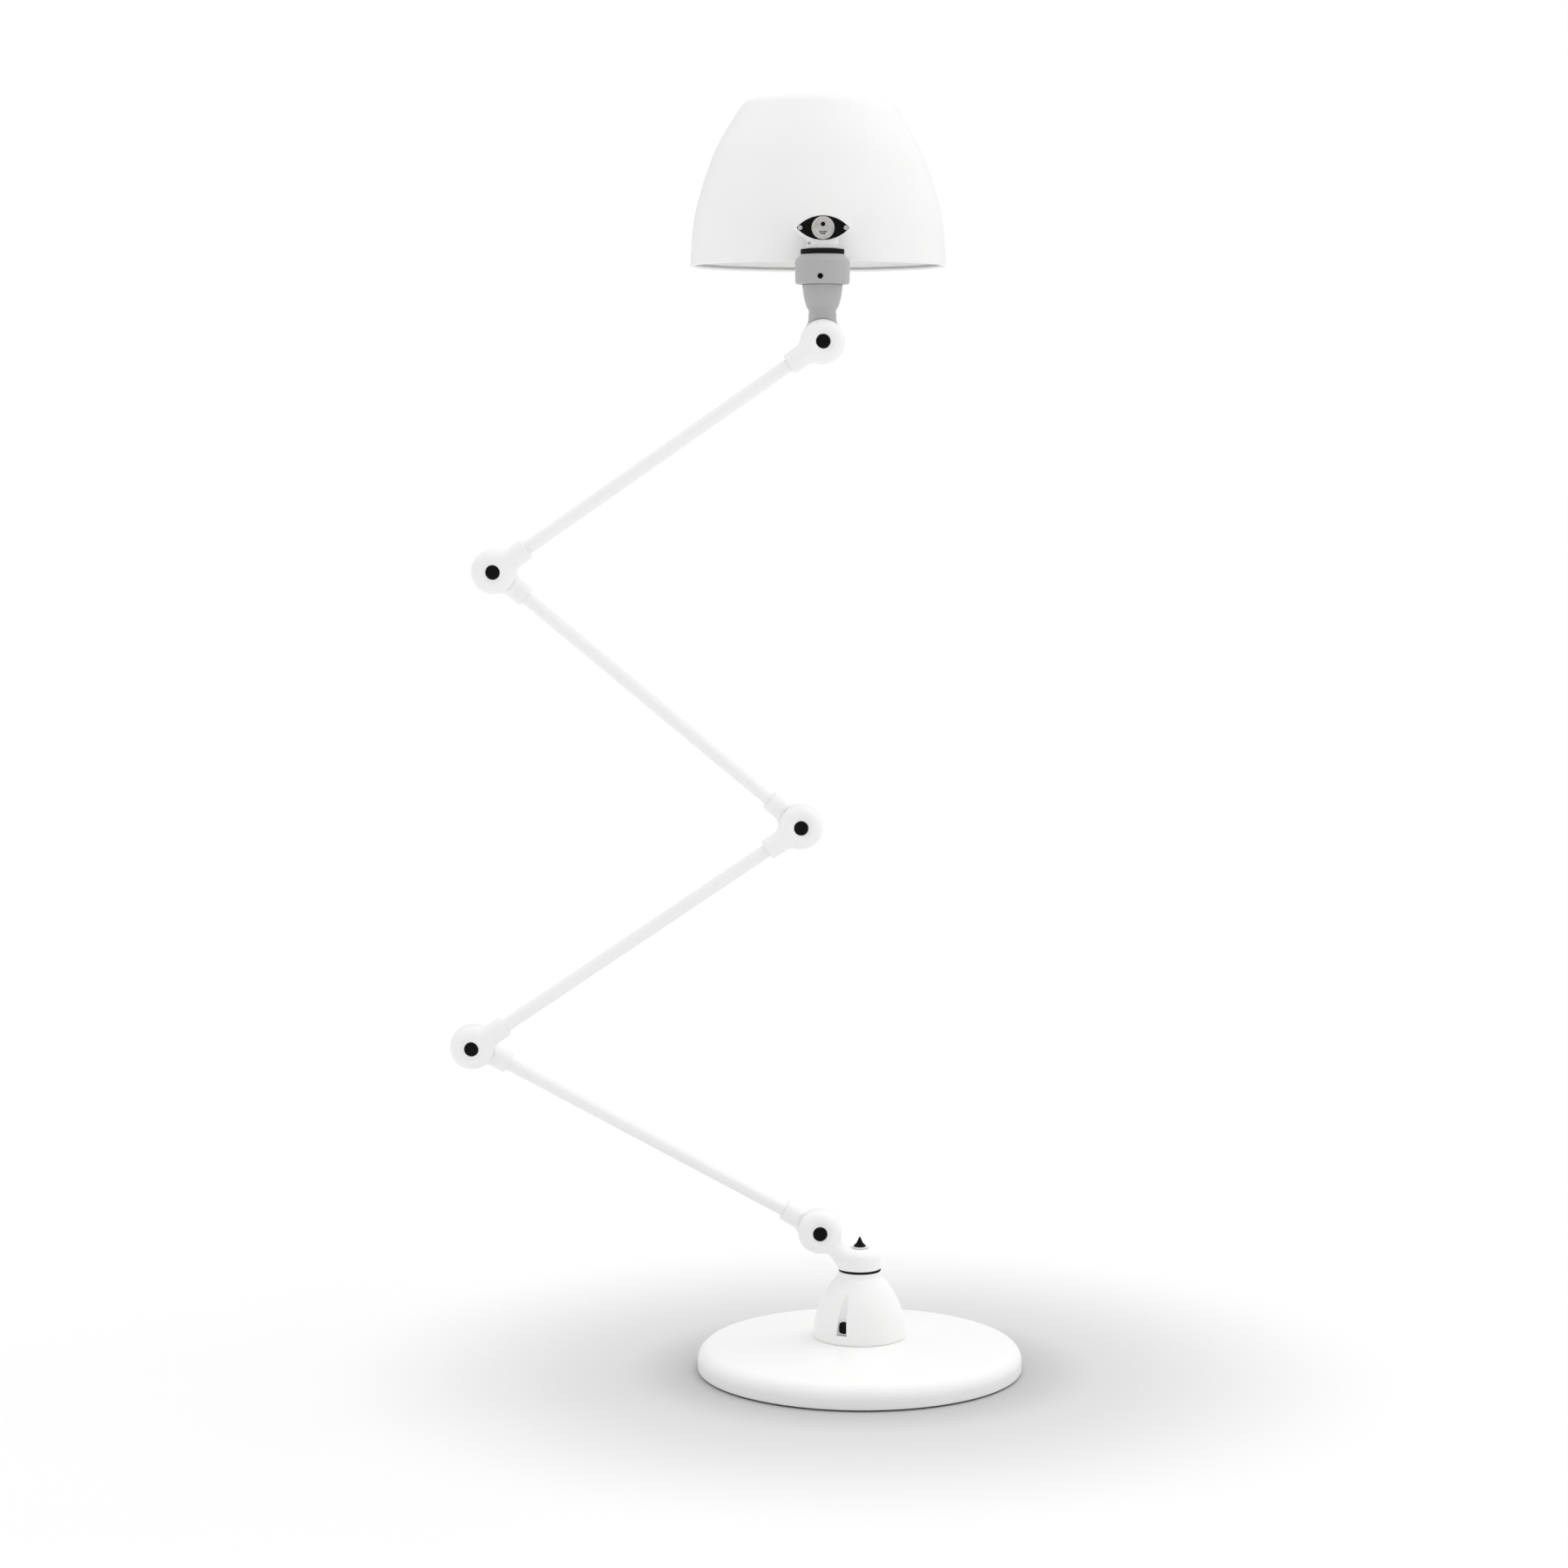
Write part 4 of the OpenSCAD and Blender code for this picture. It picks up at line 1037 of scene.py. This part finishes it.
def bracket():
    """Column on the head's swivel, lens-shaped front and the stem into the shade."""
    centre = np.array((HEAD[0], 0, STEM_Z))
    wall_y = STEM_WALL_Y
    front = PLATE_FRONT + 1.25
    column = turned(
        rounded((0, BRACKET_FOOT), (BRACKET_R, BRACKET_FOOT, 0.8), (BRACKET_R, BRACKET_FOOT + 3, 0.3),
                (BRACKET_R - 0.9, BRACKET_FOOT + 3.5, 0.4), (BRACKET_R, BRACKET_FOOT + 4, 0.3),
                (BRACKET_R, STEM_Z - HEAD[2], 2), (0, STEM_Z - HEAD[2])),
        HEAD,
    )
    skirt = shade_radius(0.2)
    pad = common(1.2, lens(centre, 31, 15, front, wall_y + 12), lambda points: front - points[:, 1])

    def behind_wall(points):
        q = points - SHADE_AT
        return np.hypot(q[:, 0], q[:, 1]) - skirt(q[:, 2])

    body = joined(3, column, cut(1.2, pad, behind_wall))
    body = joined(0.8, body, rod(centre + (0, wall_y - 8, 0), centre + (0, 64, 0), STEM_R))
    room = rod(HEAD + (0, 0, 113), HEAD + (0, 0, 124), 12)
    rivets = [
        rod(centre + (x, front - 4, 0), centre + (x, front + 5, 0), RIVET_R + 0.1)
        for x in (-RIVET_X, RIVET_X)
    ]
    return cut(
        0.7, body, room, rod(HEAD + (0, 0, BRACKET_FOOT - 5), HEAD + (0, 0, 116), POST_BORE_R),
        rod(centre + (0, front - 4, 0), centre + (0, front + BRACKET_R, 0), 9),
        rod(centre + (0, front, 0), centre + (0, 66, 0), 4.5),
        rod(centre + (-15, front - 4, -16.5), centre + (-15, front + 16, -16.5), 1.9), *rivets,
    )


def build_bracket():
    low, high = corners("head_bracket")
    piece = make_piece("bracket_casting", skin(bracket(), low, high, CAST_STEP))
    settle_in(piece, "shade_head", "painted_casting", "head_bracket")


def build_plate():
    """Black lens-shaped plate with a raised rim, the turned badge on it, and two eyelets."""
    facing = move((HEAD[0], PLATE_FRONT, STEM_Z)) @ turn("X", 90)
    flat = turn("X", -90)
    whole = placed(lens((0, 0, 0), 29.5, 13.5, 0, 3), flat)
    field = placed(lens((0, 0, 0), 28.1, 12.2, -3, 0.3), flat)
    holes = [rod((x, 0, -5), (x, 0, 5), RIVET_R + 0.1) for x in (-RIVET_X, RIVET_X)]
    slab = common(0.5, whole, lambda points: -1.2 - points[:, 2], lambda points: points[:, 2])
    shape = skin(cut(0.3, slab, field, *holes), (-29.5, -13.5, -1.2), (29.5, 13.5, 0), 0.3)
    settle_in(make_piece("lens_plate", shape, facing), "shade_head", "black_plate", "name_plate")

    face, badge_r = 0.95, 12.8
    badge = lathe(
        rounded((0, 0), (badge_r, 0, 0.2), (badge_r, face, 0.3), (badge_r - 1.2, face, 0.3),
                (badge_r - 1.7, face - 0.45, 0.2), (8.4, face - 0.45, 0.2), (7.9, face - 0.1, 0.2),
                (0, face - 0.1)),
        96,
    )
    piece = make_piece("turned_badge", badge, facing, 50, own_frame=True)
    settle_in(piece, "shade_head", "bright_badge", "plate_disc")

    stud_r = 2.6
    stud = lathe(
        rounded((0, face - 0.3), (stud_r, face - 0.3, 0.1), (stud_r, face + 0.1, 0.3), (0, face + 0.2)), 48
    )
    settle_in(make_piece("badge_stud", stud, facing @ move((0, 4, 0))), "shade_head", "black_plate")
    ribs = [
        rod((-half, y, face - 0.3), (half, y, face - 0.3), 0.6) for half, y in ((4.5, -4.5), (3.2, -6.6))
    ]
    ribs = skin(joined(0.1, *ribs), (-5, -7.5, 0), (5, -3.5, 1.5), 0.2)
    settle_in(make_piece("badge_ribs", ribs, facing), "shade_head", "black_plate")

    eyelet = lathe(
        rounded((0, -5), (RIVET_R, -5, 0.2), (RIVET_R, 0), (2.6, 0, 0.2), (2.4, 0.7, 0.5), (1.3, 1, 0.3),
                (0.8, 0.3, 0.2), (0, 0.3)),
        40,
    )
    pair = [make_piece("eyelet", eyelet, facing @ move((x, 0, 0))) for x in (-RIVET_X, RIVET_X)]
    settle_in(join_pieces("eyelet_pair", pair), "shade_head", "bright_badge", "plate_rivets")


BROW_H = 177.5


def shade_curve():
    """Outer outline of the shade, from the rim to the middle of the flat top."""
    # how far the wall has drawn in at each height
    taper = ((0, 0), (5.4, 59), (22.6, 117), (36.8, 148), (54.5, BROW_H))
    side = smooth_curve([(SHADE_R - drawn_in, z) for drawn_in, z in taper], 10)
    knee = rounded(side[-1], (84.5, SHADE_H, 9), (71, SHADE_H), steps=9)
    return side + knee[1:] + [(36, SHADE_H), (0, SHADE_H)]


def shade_radius(clearance):
    """Radius of the shade's skirt at a height above the rim."""
    outline = [p for p in shade_curve() if p[1] < BROW_H]
    heights = [z for _, z in outline]
    radii = [r + clearance for r, _ in outline]
    return lambda z: np.interp(z, heights, radii)


def build_shade():
    outer = shade_curve()
    inner = [(max(r - SHADE_WALL, 0), min(z, SHADE_H - SHADE_WALL)) for r, z in outer]
    bead = [
        (SHADE_R - BEAD_R + BEAD_R * math.cos(a), BEAD_R + BEAD_R * math.sin(a))
        for a in np.linspace(math.pi * 0.75, 2 * math.pi, 12)
    ]
    outline = bead + [p for p in outer if p[1] > BEAD_R] + inner[::-1][:-1]
    shade = make_piece("shade_spinning", lathe(outline, 192), move(SHADE_AT), 40)
    wall_y = SHADE_AT[1] - SHADE_R
    stem = move((HEAD[0], 0, STEM_Z)) @ turn("X", -90)
    carve(shade, cylinder(STEM_R + 0.05, wall_y - 10, wall_y + 20, stem))
    settle_in(shade, "shade_head", "painted_shade", "shade")


def build_lamp():
    """Nut, lamp holder and bulb on the stem inside the shade."""
    wall_y = STEM_WALL_Y
    stem = move((HEAD[0], 0, STEM_Z)) @ turn("X", -90)
    chamfers = turned([(0, 0), (13.2, 0), (14.4, 1.4), (14.4, 2.6), (13.2, 4), (0, 4)])
    nut = common(0.4, hexagon(14, 0, 4), chamfers)
    nut = skin(cut(0.3, nut, rod((0, 0, -2), (0, 0, 6), STEM_R + 0.05)), (-14, -14, 0), (14, 14, 4), 0.4)
    piece = make_piece("shade_lock_nut", nut, stem @ move((0, 0, wall_y + 3.4)))
    settle_in(piece, "shade_head", "zinc_steel", "shade_nut")

    length, wide = 46, 20
    grooves = []
    for z in (20, 25, 30, 35):
        grooves += [(wide, z, 0.5), (wide - 0.8, z + 0.7, 0.4), (wide, z + 1.4, 0.5)]
    holder = lathe(
        rounded((8.1, 0), (wide - 5, 0, 1.5), (wide - 2, 5, 2), (wide - 2, 14, 0.6), (wide, 15, 0.6),
                *grooves, (wide, length - 1, 1), (wide - 1.5, length, 0.8), (14.5, length, 0.8),
                (14.5, 16, 0.5), (8.1, 16), (8.1, 0)),
        96, loop=True,
    )
    piece = make_piece("holder_body", holder, stem @ move((0, 0, wall_y + 8)), 50)
    settle_in(piece, "shade_head", "ceramic_holder", "lamp_holder")

    bulb = stem @ move((0, 0, wall_y + 8 + length - 2))
    cap_r, cap_len, pitch = 12.5, 25, 3.6

    def thread(angle, z):
        fade = min(1, max(0, (z + cap_len - 5) / 3), max(0, (-2 - z) / 2))
        return 0.55 * fade * math.cos(2 * math.pi * z / pitch - angle)

    cap = [(0, -cap_len), (4.5, -cap_len), (6, 2 - cap_len), (11, 4.5 - cap_len)]
    cap += [(cap_r, float(z)) for z in np.linspace(5.5 - cap_len, -0.5, 60)] + [(cap_r, 0), (0, 0)]
    piece = make_piece("bulb_screw_cap", lathe(cap, 64, swell=thread), bulb, 60)
    settle_in(piece, "shade_head", "bulb_metal", "bulb_cap")

    glass_r, middle = 28, 50
    knots = [(cap_r, 0), (cap_r + 0.6, 5)]
    knots += [
        (glass_r * math.cos(t), middle + glass_r * math.sin(t)) for t in np.radians(np.arange(-40, 81, 15))
    ]
    curve = smooth_curve(knots, 4) + [
        (glass_r * math.cos(t), middle + glass_r * math.sin(t)) for t in np.radians((85, 90))
    ]
    outside = [(r if r > 1e-3 else 0, z) for r, z in curve]
    inside = [(max(0, r - 1), z - 1 if r < 15 and z > 60 else z) for r, z in reversed(curve)]
    piece = make_piece("bulb_envelope", lathe(outside + inside, 96), bulb)
    settle_in(piece, "shade_head", "frosted_glass", "bulb_glass")


# ---- carried-over CAD nodes ----


def finish_nodes():
    """Every CAD node that still shows gets its finish."""
    slots = {"base_weight": "ballast_iron", "base_plate": "zinc_steel", "base_screws": "zinc_steel",
             "bell_screws": "zinc_steel", "switch_body": "black_moulding", "swivel_post": "zinc_steel",
             "head_post": "zinc_steel"}
    for i in range(1, 6):
        slots[f"joint{i}_bolt"] = "zinc_steel"
        slots[f"joint{i}_contact_disc"] = "black_moulding"
    for body in ARM_BODIES:
        slots[f"{body}_leads"] = "lead_sheath"
    for node, slot in slots.items():
        mesh = frame["nodes"][node].data
        mesh.materials.clear()
        mesh.materials.append(finish(slot))


# ---- studio ----


ROOM_LIGHT = 0.64
# direction of each softbox, the cosines between which its light rises, and its strength
SOFTBOXES = (
    ((0, 0, 1), 0.2, 0.95, 0.38),
    ((1, 0.1, 0.35), 0.2, 0.9, 0.28),
    ((-1, 0.2, 0.3), 0.6, 0.95, 0.22),
)
# reach from the lamp's axis and depth of each shadow painted into the floor round the lamp
PAINTED_FLOOR_SHADOWS = ((650, 0.55), (280, 0.55))


def build_studio():
    """Pale floor with a soft shadow painted into it round the lamp, a soft white room and one broad key
    light from the upper right.
    """
    floor_r, sides = 60000, 64
    edge = [
        (floor_r * math.cos(a), floor_r * math.sin(a), 0)
        for a in np.linspace(0, 2 * math.pi, sides, endpoint=False)
    ]
    floor = make_piece("floor", (edge, [list(range(sides))]))
    shader = Shader("floor_paper", (0.9, 0.9, 0.9), 0.85, Specular_IOR_Level=0.1)
    shader.tint(shader.ranged(shader.noise(3), 0.4, 0.7, 0, 0.3), (0.89, 0.89, 0.89))
    distance = shader.tree.nodes.new("ShaderNodeVectorMath")
    distance.operation = "LENGTH"
    shader.link(shader.place, distance.inputs[0])
    # painted shadow: the floor's colour darkens towards the base
    for reach, depth in PAINTED_FLOOR_SHADOWS:
        shade = shader.ranged(distance.outputs["Value"], BASE_R * MM, reach * MM, depth, 0)
        shade.node.interpolation_type = "SMOOTHSTEP"
        shader.tint(shade, (0.45, 0.45, 0.45))
    floor.data.materials.append(shader.material)

    world = bpy.data.worlds.new("room")
    world.use_nodes = True
    bpy.context.scene.world = world
    nodes, links = world.node_tree.nodes, world.node_tree.links
    lit = nodes["Background"]
    lit.inputs["Color"].default_value = (1, 1, 1, 1)
    way = nodes.new("ShaderNodeTexCoord").outputs["Generated"]
    total = None
    for direction, low, high, strength in SOFTBOXES:
        facing = nodes.new("ShaderNodeVectorMath")
        facing.operation = "DOT_PRODUCT"
        facing.inputs[1].default_value = Vector(direction).normalized()
        links.new(way, facing.inputs[0])
        glow = nodes.new("ShaderNodeMapRange")
        glow.interpolation_type = "SMOOTHSTEP"
        for socket, value in zip(("From Min", "From Max", "To Min", "To Max"), (low, high, 0, strength)):
            glow.inputs[socket].default_value = value
        links.new(facing.outputs["Value"], glow.inputs["Value"])
        added = nodes.new("ShaderNodeMath")
        added.inputs[1].default_value = ROOM_LIGHT
        links.new(glow.outputs["Result"], added.inputs[0])
        if total is not None:
            links.new(total, added.inputs[1])
        total = added.outputs["Value"]
    links.new(total, lit.inputs["Strength"])
    seen = nodes.new("ShaderNodeBackground")
    seen.inputs["Color"].default_value = (1, 1, 1, 1)
    mix = nodes.new("ShaderNodeMixShader")
    links.new(nodes.new("ShaderNodeLightPath").outputs["Is Camera Ray"], mix.inputs["Fac"])
    links.new(lit.outputs["Background"], mix.inputs[1])
    links.new(seen.outputs["Background"], mix.inputs[2])
    links.new(mix.outputs["Shader"], nodes["World Output"].inputs["Surface"])

    sun = bpy.data.lights.new("key", "SUN")
    sun.energy = 0.45
    sun.angle = math.radians(40)
    lamp = bpy.data.objects.new("key", sun)
    lamp.rotation_euler = Vector((0.5, 0.35, 1.3)).to_track_quat("Z", "Y").to_euler()
    lamp.visible_glossy = False
    bpy.context.scene.collection.objects.link(lamp)
    bpy.context.scene.view_settings.view_transform = "Standard"


def build_camera():
    data = bpy.data.cameras.new("camera")
    data.sensor_width = 36
    data.lens = 82.69
    data.clip_end = 200
    camera = bpy.data.objects.new("camera", data)
    camera.location = (-0.157, -4.064, 1.078)
    camera.rotation_euler = (math.radians(90 - 5.63), 0, math.radians(-0.986))
    bpy.context.scene.collection.objects.link(camera)
    bpy.context.scene.camera = camera


build_camera()
build_studio()
finish_nodes()
build_base()
build_bell()
build_swivel()
build_elbow()
build_caps()
build_arms()
build_neck()
build_bracket()
build_plate()
build_shade()
build_lamp()
